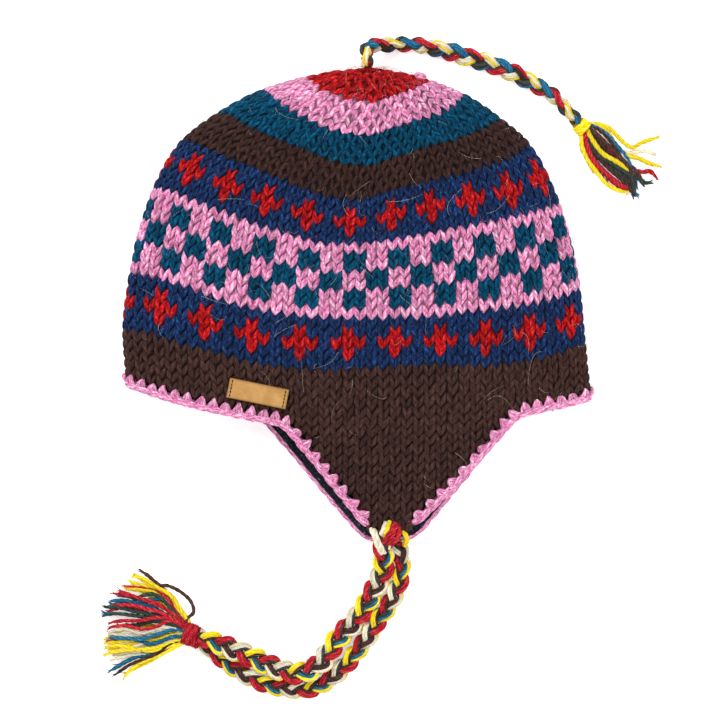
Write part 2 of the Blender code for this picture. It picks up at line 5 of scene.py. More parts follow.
import bpy
import numpy as np
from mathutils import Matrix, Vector


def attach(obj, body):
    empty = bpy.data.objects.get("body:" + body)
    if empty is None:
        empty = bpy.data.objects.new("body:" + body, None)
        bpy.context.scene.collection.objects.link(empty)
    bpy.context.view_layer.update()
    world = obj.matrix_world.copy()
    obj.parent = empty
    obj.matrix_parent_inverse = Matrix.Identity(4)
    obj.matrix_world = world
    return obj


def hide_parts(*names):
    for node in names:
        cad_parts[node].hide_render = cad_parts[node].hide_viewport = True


bl_info = {
    "name": "Knitted Chullo Hat",
    "version": (1, 0, 0),
    "blender": (4, 5, 0),
    "location": "3D View > Sidebar > Chullo",
    "description": "Dresses the solids of a knitted chullo hat with stitches, crochet, braids and tassels",
    "category": "Object",
}

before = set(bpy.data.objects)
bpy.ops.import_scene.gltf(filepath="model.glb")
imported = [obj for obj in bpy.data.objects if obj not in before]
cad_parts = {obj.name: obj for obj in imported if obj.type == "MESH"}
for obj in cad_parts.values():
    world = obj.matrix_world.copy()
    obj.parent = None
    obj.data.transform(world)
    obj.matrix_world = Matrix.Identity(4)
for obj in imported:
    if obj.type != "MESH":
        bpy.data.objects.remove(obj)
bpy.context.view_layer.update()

# The photograph's scale, and where its point 358, 67 lies, which is the crown's point
PIXEL = 0.0006
CROWN_PIXEL = (358.0, 67.0)
HAT_CENTRE = np.array([-0.00071, -0.14268, 0.0])

# Sizes of the knitted dome as it lies
RIM_WIDTH = 0.2808
CROWN_HEIGHT = 0.1854
BODY_HEIGHT = 0.060
SIDE_ROLL = 0.024
KNIT_WALL = 0.0050
ROW_PITCH = 0.0057
FLAP_HALF_WIDTH = 0.0722
FLAP_DROP = 0.062
FLAP_OFFSET = 0.0207
FLAP_TIP_HALF = 0.0102
FLAP_LEFT_HALF_WIDTH = 0.0630
FLAP_LEFT_TIP_HALF = 0.0124
FLAP_RIGHT_BULGE = 0.0022
FLAP_CORNER = 0.006
FLAP_TIP_HEIGHT = 0.0168
FAR_FLAP_SLIP = 0.007
FAR_FLAP_OFFSET = 0.0192
FAR_FLAP_TIP_HALF = 0.0125
NEAR_TIP_TURN = 1.118
NEAR_TIP_SPREAD = 0.085
NEAR_TIP_ROWS = 1.2
CROWN_ROW = 37.0
LATTICE_ROWS = 297
LATTICE_STEPS = 60
NEAR_POWER = 2.4
FAR_BOW = 0.95

# row, left across, left down, middle across, middle down, right across, right down,
# top, fold, low, bow
LEVELS = (
    (0.0, -1.000, 1.000, 0.009, 1.136, 1.000, 1.045, 0.72, 0.34, 0.00, 2.00),
    (5.0, -1.013, 0.851, 0.009, 0.974, 0.979, 0.893, 0.80, 0.37, 0.00, 2.00),
    (10.0, -0.983, 0.663, 0.009, 0.806, 0.953, 0.702, 0.88, 0.39, 0.00, 2.00),
    (18.0, -0.880, 0.388, 0.009, 0.570, 0.863, 0.430, 0.98, 0.42, 0.00, 1.45),
    (23.0, -0.761, 0.236, 0.017, 0.430, 0.735, 0.243, 1.00, 0.43, 0.00, 1.20),
    (27.0, -0.624, 0.155, 0.038, 0.317, 0.607, 0.159, 0.97, 0.44, 0.00, 1.25),
    (30.0, -0.440, 0.078, 0.051, 0.217, 0.449, 0.081, 0.90, 0.44, 0.04, 1.35),
    (33.0, -0.248, 0.032, 0.064, 0.110, 0.308, 0.039, 0.77, 0.44, 0.14, 1.40),
    (35.0, -0.103, 0.010, 0.058, 0.039, 0.184, 0.013, 0.62, 0.44, 0.27, 1.50),
    (37.0, 0.043, 0.000, 0.043, 0.000, 0.043, 0.000, 0.44, 0.44, 0.44, 1.60),
)
# The four quarters of a row, in turn: on the left, from a fold, on the near side
QUARTERS = ((True, True, True), (False, False, True), (False, True, False), (True, False, False))

# The stitches of one quarter of the dome from the rim to the crown's bands
QUARTER_STITCHES = 21
PLAIN_ROWS = 23
STITCH_WIDTH = 0.0066

# How many rows the knitting has slipped towards the crown at a turn, for each of the
# rows in SHIFT_ROWS
SHIFT_ROWS = (0.0, 5.0, 10.0, 18.0, 23.0, 27.0, 30.0, 33.0, 37.0)
ROW_SHIFTS = (
    (0.00, 0.0, 0.15, 0.0, 0.0, 0.3, 0.5, 0.5, 0.4, 0.0),
    (0.15, 0.0, 0.70, 0.4, 0.3, 0.5, 0.7, 0.6, 0.4, 0.0),
    (0.30, 0.0, 0.45, 0.5, 0.1, 0.1, 0.3, 0.2, 0.0, 0.0),
    (0.45, 0.0, 0.10, 0.1, 0.0, -0.1, 0.2, -0.2, -0.3, 0.0),
    (0.65, 0.0, -0.35, -0.3, -0.3, -0.5, -0.1, -0.6, -0.3, 0.0),
    (0.85, 0.0, -0.20, -0.3, -0.6, -0.7, -0.6, -0.5, -0.2, 0.0),
    (1.00, 0.0, 0.05, -0.2, -0.2, -0.1, -0.2, -0.1, -0.2, 0.0),
    (1.15, 0.0, 0.20, -0.2, 0.0, 0.2, 0.0, 0.0, 0.0, 0.0),
    (1.35, 0.0, 0.10, -0.4, 0.1, -0.3, 0.1, -0.3, 0.1, 0.0),
    (1.55, 0.0, -0.50, -0.5, -0.2, -0.6, -0.5, -0.7, 0.0, 0.0),
    (1.75, 0.0, -0.60, -0.6, -0.3, -0.8, -0.4, -0.5, 0.0, 0.0),
    (1.90, 0.0, -0.10, -0.5, -0.2, -0.4, -0.1, -0.1, 0.0, 0.0),
    (2.00, 0.0, 0.10, -0.3, -0.1, -0.2, 0.0, 0.0, 0.0, 0.0),
    (2.50, 0.0, 0.00, 0.0, 0.0, 0.0, 0.0, 0.0, 0.0, 0.0),
    (3.50, 0.0, 0.00, 0.0, 0.0, 0.0, 0.0, 0.0, 0.0, 0.0),
    (4.00, 0.0, 0.15, 0.0, 0.0, 0.3, 0.5, 0.5, 0.4, 0.0),
)

# The crown's stripes: first row, last row, rows of stitches, yarn
CROWN_STRIPES = (
    (23.0, 27.0, 4, "brown"),
    (27.0, 30.0, 4, "teal"),
    (30.0, 33.0, 4, "pink"),
    (33.0, 37.0, 5, "red"),
)

# Four stitches of each patterned row, from the column of the crosses on
PATTERN = {
    5: "bbbb",
    6: "rbbb",
    7: "rrbr",
    8: "rbbb",
    9: "bbbb",
    10: "pppp",
    11: "ttpp",
    12: "ttpp",
    13: "pptt",
    14: "pptt",
    15: "ttpp",
    16: "ttpp",
    17: "pppp",
    18: "bbbb",
    19: "rbbb",
    20: "rrbr",
    21: "rbbb",
    22: "bbbb",
}
YARN_LETTERS = {"b": "blue", "r": "red", "p": "pink", "t": "teal"}
KNIT_YARNS = ("brown", "blue", "red", "pink", "teal")

# The routes of the cords from where each leaves the hat: across, along, height
CROWN_EXIT = np.array([0.00675, 0.14348, 0.0])
NEAR_EXIT = np.array([0.01571, -0.13679, 0.0])
FAR_EXIT = np.array([0.02411, -0.14348, 0.0])
CROWN_ROUTE = (
    (0.0000, 0.0000, 0.0262),
    (-0.0008, 0.0050, 0.0254),
    (-0.0006, 0.0096, 0.0215),
    (0.0030, 0.0126, 0.0150),
    (0.0108, 0.0136, 0.0085),
    (0.0210, 0.0140, 0.0058),
    (0.0342, 0.0130, 0.0052),
    (0.0468, 0.0103, 0.0052),
    (0.0600, 0.0064, 0.0052),
    (0.0730, 0.0024, 0.0052),
    (0.0860, -0.0024, 0.0052),
    (0.0992, -0.0092, 0.0052),
    (0.1124, -0.0176, 0.0052),
    (0.1205, -0.0260, 0.0050),
    (0.1272, -0.0336, 0.0046),
)
NEAR_ROUTE = (
    (0.0000, 0.0000, 0.0148),
    (0.0000, -0.0090, 0.0130),
    (0.0006, -0.0195, 0.0078),
    (-0.0024, -0.0303, 0.0058),
    (-0.0072, -0.0387, 0.0056),
    (-0.0116, -0.0462, 0.0056),
    (-0.0180, -0.0550, 0.0056),
    (-0.0252, -0.0622, 0.0060),
    (-0.0312, -0.0704, 0.0072),
    (-0.0366, -0.0780, 0.0096),
    (-0.0426, -0.0828, 0.0108),
    (-0.0504, -0.0851, 0.0108),
    (-0.0576, -0.0846, 0.0100),
    (-0.0666, -0.0814, 0.0096),
    (-0.0762, -0.0769, 0.0100),
    (-0.0852, -0.0728, 0.0110),
    (-0.0942, -0.0690, 0.0124),
    (-0.1030, -0.0654, 0.0138),
    (-0.1120, -0.0628, 0.0144),
)
FAR_ROUTE = (
    (0.0000, 0.0000, 0.0056),
    (0.0030, -0.0080, 0.0055),
    (0.0030, -0.0168, 0.0055),
    (0.0008, -0.0262, 0.0055),
    (-0.0040, -0.0366, 0.0055),
    (-0.0112, -0.0470, 0.0055),
    (-0.0180, -0.0578, 0.0055),
    (-0.0260, -0.0684, 0.0055),
    (-0.0336, -0.0766, 0.0055),
    (-0.0420, -0.0838, 0.0055),
    (-0.0522, -0.0880, 0.0055),
    (-0.0612, -0.0886, 0.0055),
    (-0.0702, -0.0874, 0.0055),
    (-0.0822, -0.0840, 0.0055),
    (-0.0942, -0.0780, 0.0055),
    (-0.1026, -0.0722, 0.0055),
    (-0.1110, -0.0656, 0.0055),
    (-0.1180, -0.0596, 0.0055),
)

# The yarns of a braid's three strands: three that show where it crosses from the right
# edge, then three that show where it crosses from the left edge
TIE_STRANDS = (
    ("coffee", "cherry", "cherry", "cherry", "cherry", "coffee"),
    ("coffee", "coffee", "cream", "yellow", "yellow", "coffee"),
    ("slate", "azure", "yellow", "cream", "cream", "slate"),
)
CROWN_STRANDS = (
    ("coffee", "coffee", "cherry", "cherry", "cherry", "coffee"),
    ("cream", "yellow", "cream", "yellow", "cream", "cream"),
    ("slate", "azure", "azure", "azure", "coffee", "slate"),
)
# Where the yarns of a strand lie in it: across and up, in yarn radii
STRAND_PLACES = ((-1.68, 0.72), (0.0, 0.98), (1.68, 0.72), (1.68, -0.72), (0.0, -0.98), (-1.68, -0.72))

# The yarns of the tassels as they lie: yarn, height, then points in the photograph's
# pixels from the binding to the end
NEAR_TASSEL = (
    ("coffee", 9.5, (186, 621), (193, 613), (190, 602), (181, 594), (171, 589), (163, 587), (152, 589)),
    ("coffee", 3.5, (186, 620), (176, 606), (166, 594), (154, 584), (147, 577), (140, 572)),
    ("yellow", 8.0, (187, 620), (180, 611), (173, 600), (163, 592), (148, 586), (132, 576)),
    ("yellow", 6.5, (186, 621), (176, 609), (170, 597), (158, 591), (143, 587), (127, 582)),
    ("yellow", 5.0, (187, 622), (178, 613), (169, 602), (156, 594), (142, 592), (124, 591)),
    ("yellow", 8.5, (186, 620), (177, 606), (168, 595), (155, 588), (141, 580), (131, 578)),
    ("cherry", 4.0, (184, 624), (172, 606), (160, 595), (149, 590), (137, 589), (122, 588)),
    ("slate", 6.0, (183, 624), (172, 612), (162, 601), (152, 596), (143, 597), (134, 599)),
    ("azure", 4.4, (183, 625), (171, 611), (161, 602), (150, 601), (138, 603), (126, 604)),
    ("cherry", 9.0, (184, 626), (173, 616), (160, 608), (146, 603), (129, 597), (111, 595)),
    ("cherry", 8.2, (184, 625), (171, 614), (156, 605), (141, 600), (128, 596), (117, 593)),
    ("azure", 4.2, (182, 628), (166, 617), (150, 608), (135, 605), (122, 603), (109, 602)),
    ("cherry", 9.4, (184, 628), (171, 620), (157, 613), (142, 609), (128, 607), (113, 606)),
    ("slate", 6.4, (182, 629), (166, 621), (149, 616), (132, 613), (116, 609), (102, 608)),
    ("slate", 5.2, (182, 630), (165, 623), (147, 619), (130, 617), (114, 616), (101, 618)),
    ("azure", 4.0, (182, 630), (165, 624), (148, 621), (131, 617), (115, 615), (102, 615)),
    ("cherry", 8.8, (184, 629), (170, 620), (156, 619), (140, 622), (123, 622), (109, 625)),
    ("cherry", 8.0, (184, 630), (169, 622), (155, 628), (141, 631), (125, 627), (107, 630)),
    ("slate", 5.6, (182, 631), (167, 625), (154, 623), (142, 625), (130, 627), (118, 628)),
    ("cream", 7.0, (183, 632), (168, 629), (155, 631), (139, 635), (121, 631), (108, 633)),
    ("cream", 5.4, (183, 633), (167, 631), (152, 634), (137, 637), (122, 637), (107, 636)),
    ("azure", 8.6, (184, 632), (171, 631), (156, 636), (140, 641), (124, 640), (108, 639)),
    ("yellow", 5.0, (184, 635), (169, 637), (155, 641), (139, 642), (121, 643), (104, 645)),
    ("azure", 8.2, (184, 637), (171, 638), (159, 643), (149, 646), (139, 643), (127, 640)),
    ("yellow", 7.4, (185, 640), (170, 644), (153, 650), (136, 651), (119, 653), (103, 657)),
    ("yellow", 6.2, (185, 641), (168, 648), (150, 653), (133, 650), (117, 648), (104, 650)),
    ("cream", 3.6, (184, 641), (167, 650), (150, 656), (134, 657), (119, 659), (108, 663)),
    ("azure", 3.8, (184, 641), (166, 651), (150, 656), (134, 660), (119, 667), (107, 673)),
    ("coffee", 7.6, (185, 641), (170, 645), (156, 655), (143, 661), (127, 667), (113, 678)),
    ("yellow", 6.8, (186, 642), (172, 650), (159, 656), (145, 662), (133, 669), (122, 679)),
)
FAR_TASSEL = (
    ("cherry", 2.4, (184, 634), (170, 628), (154, 618), (138, 612), (122, 610), (106, 613)),
    ("yellow", 2.4, (184, 636), (170, 636), (155, 638), (140, 644), (124, 647), (107, 652)),
    ("cream", 2.4, (184, 638), (170, 640), (156, 645), (140, 649), (125, 655), (112, 658)),
    ("slate", 2.4, (184, 640), (170, 646), (156, 650), (142, 656), (128, 662), (114, 668)),
    ("yellow", 3.2, (184, 642), (172, 650), (160, 657), (147, 664), (134, 671), (124, 676)),
    ("coffee", 2.4, (184, 633), (170, 624), (155, 613), (141, 604), (127, 598), (116, 598)),
    ("yellow", 2.4, (184, 636), (169, 632), (153, 628), (137, 628), (120, 633), (103, 640)),
    ("cherry", 2.4, (184, 637), (169, 638), (153, 640), (137, 638), (121, 640), (106, 643)),
    ("azure", 2.4, (184, 636), (171, 627), (156, 616), (140, 608), (125, 606), (110, 606)),
    ("yellow", 2.6, (184, 634), (172, 620), (162, 607), (150, 598), (138, 592), (130, 587)),
)
CROWN_TASSEL = (
    ("yellow", 4.2, (591, 122), (602, 123), (612, 127), (621, 136), (628, 143), (635, 146), (645, 141), (660, 135)),
    ("yellow", 3.6, (591, 123), (606, 127), (616, 141), (627, 153), (640, 157), (650, 161), (661, 164)),
    ("cream", 2.2, (592, 123), (608, 134), (619, 147), (629, 151), (644, 149), (657, 153)),
    ("azure", 5.4, (590, 123), (600, 127), (610, 134), (619, 145), (629, 158), (638, 179)),
    ("coffee", 6.2, (589, 124), (598, 127), (611, 138), (617, 148), (624, 157), (630, 163)),
    ("coffee", 5.6, (588, 125), (597, 131), (608, 142), (617, 151), (626, 160), (634, 172), (637, 182)),
    ("slate", 3.4, (589, 125), (600, 133), (611, 145), (622, 156), (634, 169), (645, 181), (653, 182)),
    ("cream", 4.8, (589, 124), (601, 131), (612, 143), (621, 152), (630, 161), (636, 171)),
    ("yellow", 7.0, (587, 126), (593, 137), (604, 152), (615, 159), (624, 164), (632, 171)),
    ("slate", 6.0, (587, 127), (592, 141), (601, 154), (611, 161), (626, 170), (634, 179), (637, 195)),
    ("slate", 4.4, (587, 127), (590, 142), (599, 155), (610, 164), (622, 173), (632, 184)),
    ("coffee", 5.0, (587, 127), (590, 139), (597, 152), (607, 164), (619, 174), (630, 185), (636, 195)),
    ("cherry", 6.4, (586, 127), (588, 142), (594, 157), (606, 171), (620, 182), (630, 187)),
    ("cherry", 4.6, (586, 127), (587, 141), (592, 155), (603, 168), (616, 179), (628, 189)),
    ("coffee", 3.0, (587, 127), (595, 137), (605, 152), (617, 166), (629, 177), (636, 188)),
    ("cherry", 3.0, (590, 125), (603, 138), (616, 154), (630, 167), (644, 171), (652, 170), (659, 176)),
    ("azure", 2.4, (587, 127), (590, 145), (600, 163), (615, 178), (630, 187), (641, 194)),
    ("yellow", 5.6, (584, 126), (583, 140), (588, 156), (596, 168), (607, 181), (618, 188), (629, 192)),
    ("yellow", 3.0, (585, 127), (583, 142), (587, 155), (592, 163), (596, 171)),
    ("azure", 1.8, (586, 127), (586, 146), (592, 161), (600, 171), (608, 179)),
    ("coffee", 3.8, (590, 124), (606, 138), (620, 155), (634, 166), (641, 173), (645, 183)),
    ("coffee", 4.2, (589, 125), (599, 136), (608, 148), (618, 160), (627, 170), (634, 178)),
    ("slate", 2.6, (588, 126), (595, 139), (605, 152), (616, 163), (627, 173), (635, 181)),
    ("azure", 2.2, (590, 125), (602, 139), (613, 151), (624, 162), (634, 173), (639, 186)),
    ("cherry", 2.0, (587, 127), (590, 146), (597, 160), (608, 173), (620, 184), (627, 188)),
)
# The loops of the near tie that lie on the tip of its flap: yarn, height, points in pixels
TIE_LOOPS = (
    ("cream", 0.4, (371, 529), (374, 536), (377, 545), (382, 555)),
    ("cream", 0.9, (374, 530), (377, 537), (381, 546), (385, 554)),
    ("coffee", 0.6, (379, 531), (381, 538), (384, 545), (388, 552)),
    ("cream", 1.4, (386, 523), (384, 528), (382, 533), (381, 538)),
    ("yellow", 1.7, (390, 522), (388, 528), (386, 533), (384, 539)),
    ("slate", 1.0, (392, 523), (390, 530), (387, 536), (384, 542)),
    ("cherry", 2.4, (395, 523), (391, 531), (386, 539), (382, 545)),
    ("cherry", 2.6, (397, 525), (394, 533), (390, 541), (386, 547)),
    ("cherry", 2.0, (399, 528), (399, 535), (395, 542), (390, 547)),
    ("yellow", 0.6, (403, 533), (406, 536), (407, 541), (405, 547)),
)

# Colours as 0 to 255: the dark, main and light tones of each yarn. They streak its fibres, and where the ply lines
# shift them they are painted shade in the grooves and painted highlight on the crests
TONES = {
    "brown": ((40, 25, 21), (62, 40, 36), (84, 58, 51)),
    "blue": ((13, 20, 40), (19, 42, 84), (40, 82, 142)),
    "red": ((98, 2, 8), (170, 10, 16), (216, 62, 62)),
    "pink": ((172, 72, 122), (214, 136, 178), (255, 224, 238)),
    "teal": ((0, 32, 54), (0, 62, 92), (16, 104, 136)),
    "coffee": ((44, 28, 27), (72, 47, 44), (106, 78, 72)),
    "slate": ((32, 42, 38), (50, 64, 58), (84, 98, 84)),
    "azure": ((16, 70, 100), (28, 100, 136), (74, 144, 174)),
    "cherry": ((116, 8, 20), (184, 28, 42), (226, 92, 98)),
    "yellow": ((212, 172, 4), (244, 218, 26), (252, 240, 104)),
    "cream": ((186, 174, 146), (222, 214, 190), (240, 236, 220)),
}
LEATHER_TONES = ((92, 56, 28), (169, 125, 70), (185, 142, 87))
# The fleece's dark, main and light tones: the light one is painted highlight on its curls
FLEECE_TONES = ((12, 14, 20), (32, 36, 46), (116, 120, 128))


# ---------------------------------------------------------------- the dome's surface


def monotone_slopes(places, values):
    """The slopes at each place of a cubic through the values that never overshoots."""
    steps = np.diff(places)
    rises = np.diff(values) / steps
    slopes = np.empty(len(values))
    slopes[0], slopes[-1] = rises[0], rises[-1]
    for i in range(1, len(values) - 1):
        before, after = rises[i - 1], rises[i]
        if before * after <= 0:
            slopes[i] = 0.0
        else:
            first = 2 * steps[i] + steps[i - 1]
            second = steps[i] + 2 * steps[i - 1]
            slopes[i] = (first + second) / (first / before + second / after)
    return slopes


def level_values(rows):
    """The columns of LEVELS at each of the given rows, as smooth curves."""
    table = np.array(LEVELS)
    places = table[:, 0]
    index = np.clip(np.searchsorted(places, rows, side="right") - 1, 0, len(places) - 2)
    width = places[index + 1] - places[index]
    t = (rows - places[index]) / width
    columns = []
    for values in table[:, 1:].T:
        slopes = monotone_slopes(places, values)
        columns.append(
            (2 * t**3 - 3 * t**2 + 1) * values[index]
            + (t**3 - 2 * t**2 + t) * width * slopes[index]
            + (3 * t**2 - 2 * t**3) * values[index + 1]
            + (t**3 - t**2) * width * slopes[index + 1]
        )
    return np.array(columns).T


def row_loop(values):
    """One row's closed line, in four quarters that each start where the last one ends."""
    left, left_down, middle, middle_down, right, right_down, top, fold, low, bow = values
    half = RIM_WIDTH / 2
    top, fold, low = top * BODY_HEIGHT, fold * BODY_HEIGHT, low * BODY_HEIGHT
    turn = np.linspace(0.0, math.pi / 2, LATTICE_STEPS + 1)
    quarters = []
    for on_left, from_fold, near in QUARTERS:
        share = np.cos(turn) if from_fold else np.sin(turn)
        across, down = (left, left_down) if on_left else (right, right_down)
        deep = middle_down if near else down + FAR_BOW * (middle_down - down)
        x = half * (middle + (across - middle) * share)
        y = -CROWN_HEIGHT * (down + (deep - down) * (1 - share**bow))
        if near:
            z = fold + (top - fold) * np.sqrt(np.maximum(0.0, 1 - share**NEAR_POWER))
        else:
            roll = min(1.0, SIDE_ROLL / max(half * abs(across - middle), 1e-6))
            past = np.maximum(0.0, (share - (1 - roll)) / roll)
            z = fold - (fold - low) * np.sqrt(np.maximum(0.0, 1 - past**2))
        quarters.append(np.stack([x, y, z], axis=1))
    return quarters


def evenly(line, count):
    """The line again as count + 1 points, evenly spaced along it."""
    lengths = np.linalg.norm(np.diff(line, axis=0), axis=1)
    along = np.concatenate([[0.0], np.cumsum(lengths)])
    wanted = np.linspace(0.0, along[-1], count + 1)
    return np.stack([np.interp(wanted, along, line[:, k]) for k in range(3)], axis=1)


def build_lattice():
    """The dome as a table of points, even in rows and even along each quarter of a row."""
    lattice = []
    for values in level_values(np.linspace(0.0, CROWN_ROW, LATTICE_ROWS)):
        quarters = [evenly(quarter, LATTICE_STEPS)[:-1] for quarter in row_loop(values)]
        lattice.append(np.concatenate(quarters))
    return np.array(lattice) - HAT_CENTRE


LATTICE = build_lattice()


def surface(turn, row):
    """Points of the whole outer surface. Below the rim it runs on down the ear flaps."""
    turn, row = np.broadcast_arrays(np.asarray(turn, float), np.asarray(row, float))
    across = np.mod(turn, 4.0) * LATTICE_STEPS
    up = np.clip(row, 0.0, CROWN_ROW) / CROWN_ROW * (LATTICE_ROWS - 1)
    i = np.minimum(up.astype(int), LATTICE_ROWS - 2)
    j = across.astype(int) % (4 * LATTICE_STEPS)
    after = (j + 1) % (4 * LATTICE_STEPS)
    s, t = (up - i)[..., None], (across - np.floor(across))[..., None]
    low = LATTICE[i, j] * (1 - t) + LATTICE[i, after] * t
    high = LATTICE[i + 1, j] * (1 - t) + LATTICE[i + 1, after] * t
    points = low * (1 - s) + high * s
    drop = np.maximum(-row, 0.0) * ROW_PITCH
    points[..., 1] -= drop
    t = np.clip(drop / FLAP_DROP, 0.0, 1.2)
    sunk = 0.4 * t + 0.6 * (3 * t**2 - 2 * t**3)
    fall = np.maximum(points[..., 2] - FLAP_TIP_HEIGHT, 0.0) * sunk
    points[..., 2] -= np.where(np.mod(turn, 4.0) <= 2.0, fall, 0.0)
    return points


def surface_normals(turn, row):
    """Unit normals of the outer surface, pointing out."""
    step_turn, step_row = 0.02, 0.25
    turn, row = np.broadcast_arrays(np.asarray(turn, float), np.asarray(row, float))
    ahead, behind = surface(turn + step_turn, row), surface(turn - step_turn, row)
    above = surface(turn, np.minimum(row + step_row, CROWN_ROW - 0.05))
    below = surface(turn, np.minimum(row, CROWN_ROW - 0.3) - step_row)
    normals = np.cross(ahead - behind, above - below)
    return normals / np.maximum(np.linalg.norm(normals, axis=-1, keepdims=True), 1e-12)


def soft_positive(value, softness):
    """The value where it is positive and 0 where it isn't, with a soft corner."""
    return (value + np.sqrt(value**2 + softness**2)) / 2


def edge_rows(turns):
    """The row where the knitting ends at each turn: 0 on the rim, less on the flaps."""
    x = surface(turns, 0.0)[..., 0] + HAT_CENTRE[0]
    near = np.mod(turns, 4.0) <= 2.0
    middle = np.where(near, FLAP_OFFSET, FAR_FLAP_OFFSET)
    left = near & (x < middle)
    tip = np.where(near, np.where(left, FLAP_LEFT_TIP_HALF, FLAP_TIP_HALF), FAR_FLAP_TIP_HALF)
    half = np.where(left, FLAP_LEFT_HALF_WIDTH, FLAP_HALF_WIDTH)
    deep = FLAP_DROP + np.where(near, 0.0, FAR_FLAP_SLIP)
    share = (np.abs(x - middle) - tip) / (half - tip)
    bulge = FLAP_RIGHT_BULGE * np.clip(4 * share * (1 - share), 0, 1) * (near & ~left)
    slope = deep / (half - tip)
    side = soft_positive(slope * (half - np.abs(x - middle)) + bulge, FLAP_CORNER)
    drop = deep - soft_positive(deep - side, FLAP_CORNER / 2)
    return -drop / ROW_PITCH


def near_tip(turns):
    """How near each turn is to the tip of the near flap: 1 on it and 0 beside it."""
    reach = np.abs(np.mod(turns, 4.0) - NEAR_TIP_TURN) / NEAR_TIP_SPREAD
    return np.clip(2.2 * (1.0 - reach), 0.0, 1.0)


def unit(vectors):
    """The vectors at length 1."""
    return vectors / np.maximum(np.linalg.norm(vectors, axis=-1, keepdims=True), 1e-12)


def photo_place(x, y):
    """The place across and along that shows at a point of the photograph."""
    return np.array(
        [
            (x - CROWN_PIXEL[0]) * PIXEL - HAT_CENTRE[0],
            -(y - CROWN_PIXEL[1]) * PIXEL - HAT_CENTRE[1],
        ]
    )


NEAR_TURNS = np.linspace(0.0, 2.0, 161)


def near_place(x, y):
    """The turn and row of the near side's point that lies above x, y."""
    low, high = np.full(161, -14.0), np.full(161, CROWN_ROW - 1)
    for _ in range(24):
        middle = (low + high) / 2
        above = surface(NEAR_TURNS, middle)[:, 1] < y
        low, high = np.where(above, middle, low), np.where(above, high, middle)
    turn = float(np.interp(x, surface(NEAR_TURNS, low)[:, 0], NEAR_TURNS))
    return turn, float(np.interp(turn, NEAR_TURNS, low))


# ---------------------------------------------------------------- making meshes


def hat_settings():
    """The settings that the sidebar shows."""
    return bpy.context.scene.chullo_hat


def deselect_all():
    """Nothing selected, so that the next operator acts on its own piece."""
    if bpy.context.mode != "OBJECT":
        bpy.ops.object.mode_set(mode="OBJECT")
    bpy.ops.object.select_all(action="DESELECT")


def select_only(piece):
    """That piece alone selected and active."""
    deselect_all()
    piece.select_set(True)
    bpy.context.view_layer.objects.active = piece


def apply_modifier(piece, kind, **values):
    """A modifier with these values, applied to the piece."""
    select_only(piece)
    modifier = piece.modifiers.new(kind.title(), kind)
    for name, value in values.items():
        setattr(modifier, name, value)
    bpy.ops.object.modifier_apply(modifier=modifier.name)


def grid_piece(name, places):
    """A sheet of faces whose points lie at the given table of places, rows first."""
    rows, columns = places.shape[:2]
    deselect_all()
    bpy.ops.mesh.primitive_grid_add(x_subdivisions=columns - 1, y_subdivisions=rows - 1, size=1.0)
    piece = bpy.context.active_object
    piece.name = piece.data.name = name
    piece.data.vertices.foreach_set("co", places.reshape(-1).astype(np.float32))
    piece.data.update()
    return piece


def clean_piece(piece, distance=0.00002):
    """Doubled points merged and faces turned outwards."""
    select_only(piece)
    bpy.ops.object.mode_set(mode="EDIT")
    bpy.ops.mesh.select_all(action="SELECT")
    bpy.ops.mesh.remove_doubles(threshold=distance)
    bpy.ops.mesh.normals_make_consistent(inside=False)
    bpy.ops.object.mode_set(mode="OBJECT")


def smooth_piece(piece, angle=50):
    """Smooth shading apart from edges sharper than the angle."""
    select_only(piece)
    bpy.ops.object.shade_smooth_by_angle(angle=math.radians(angle))


def finish_piece(piece, slot, *nodes):
    """The piece rides on the hat and stands for its solids, which it hides. Its slot is not used."""
    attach(piece, "root")
    if nodes:
        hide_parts(*nodes)
    return piece


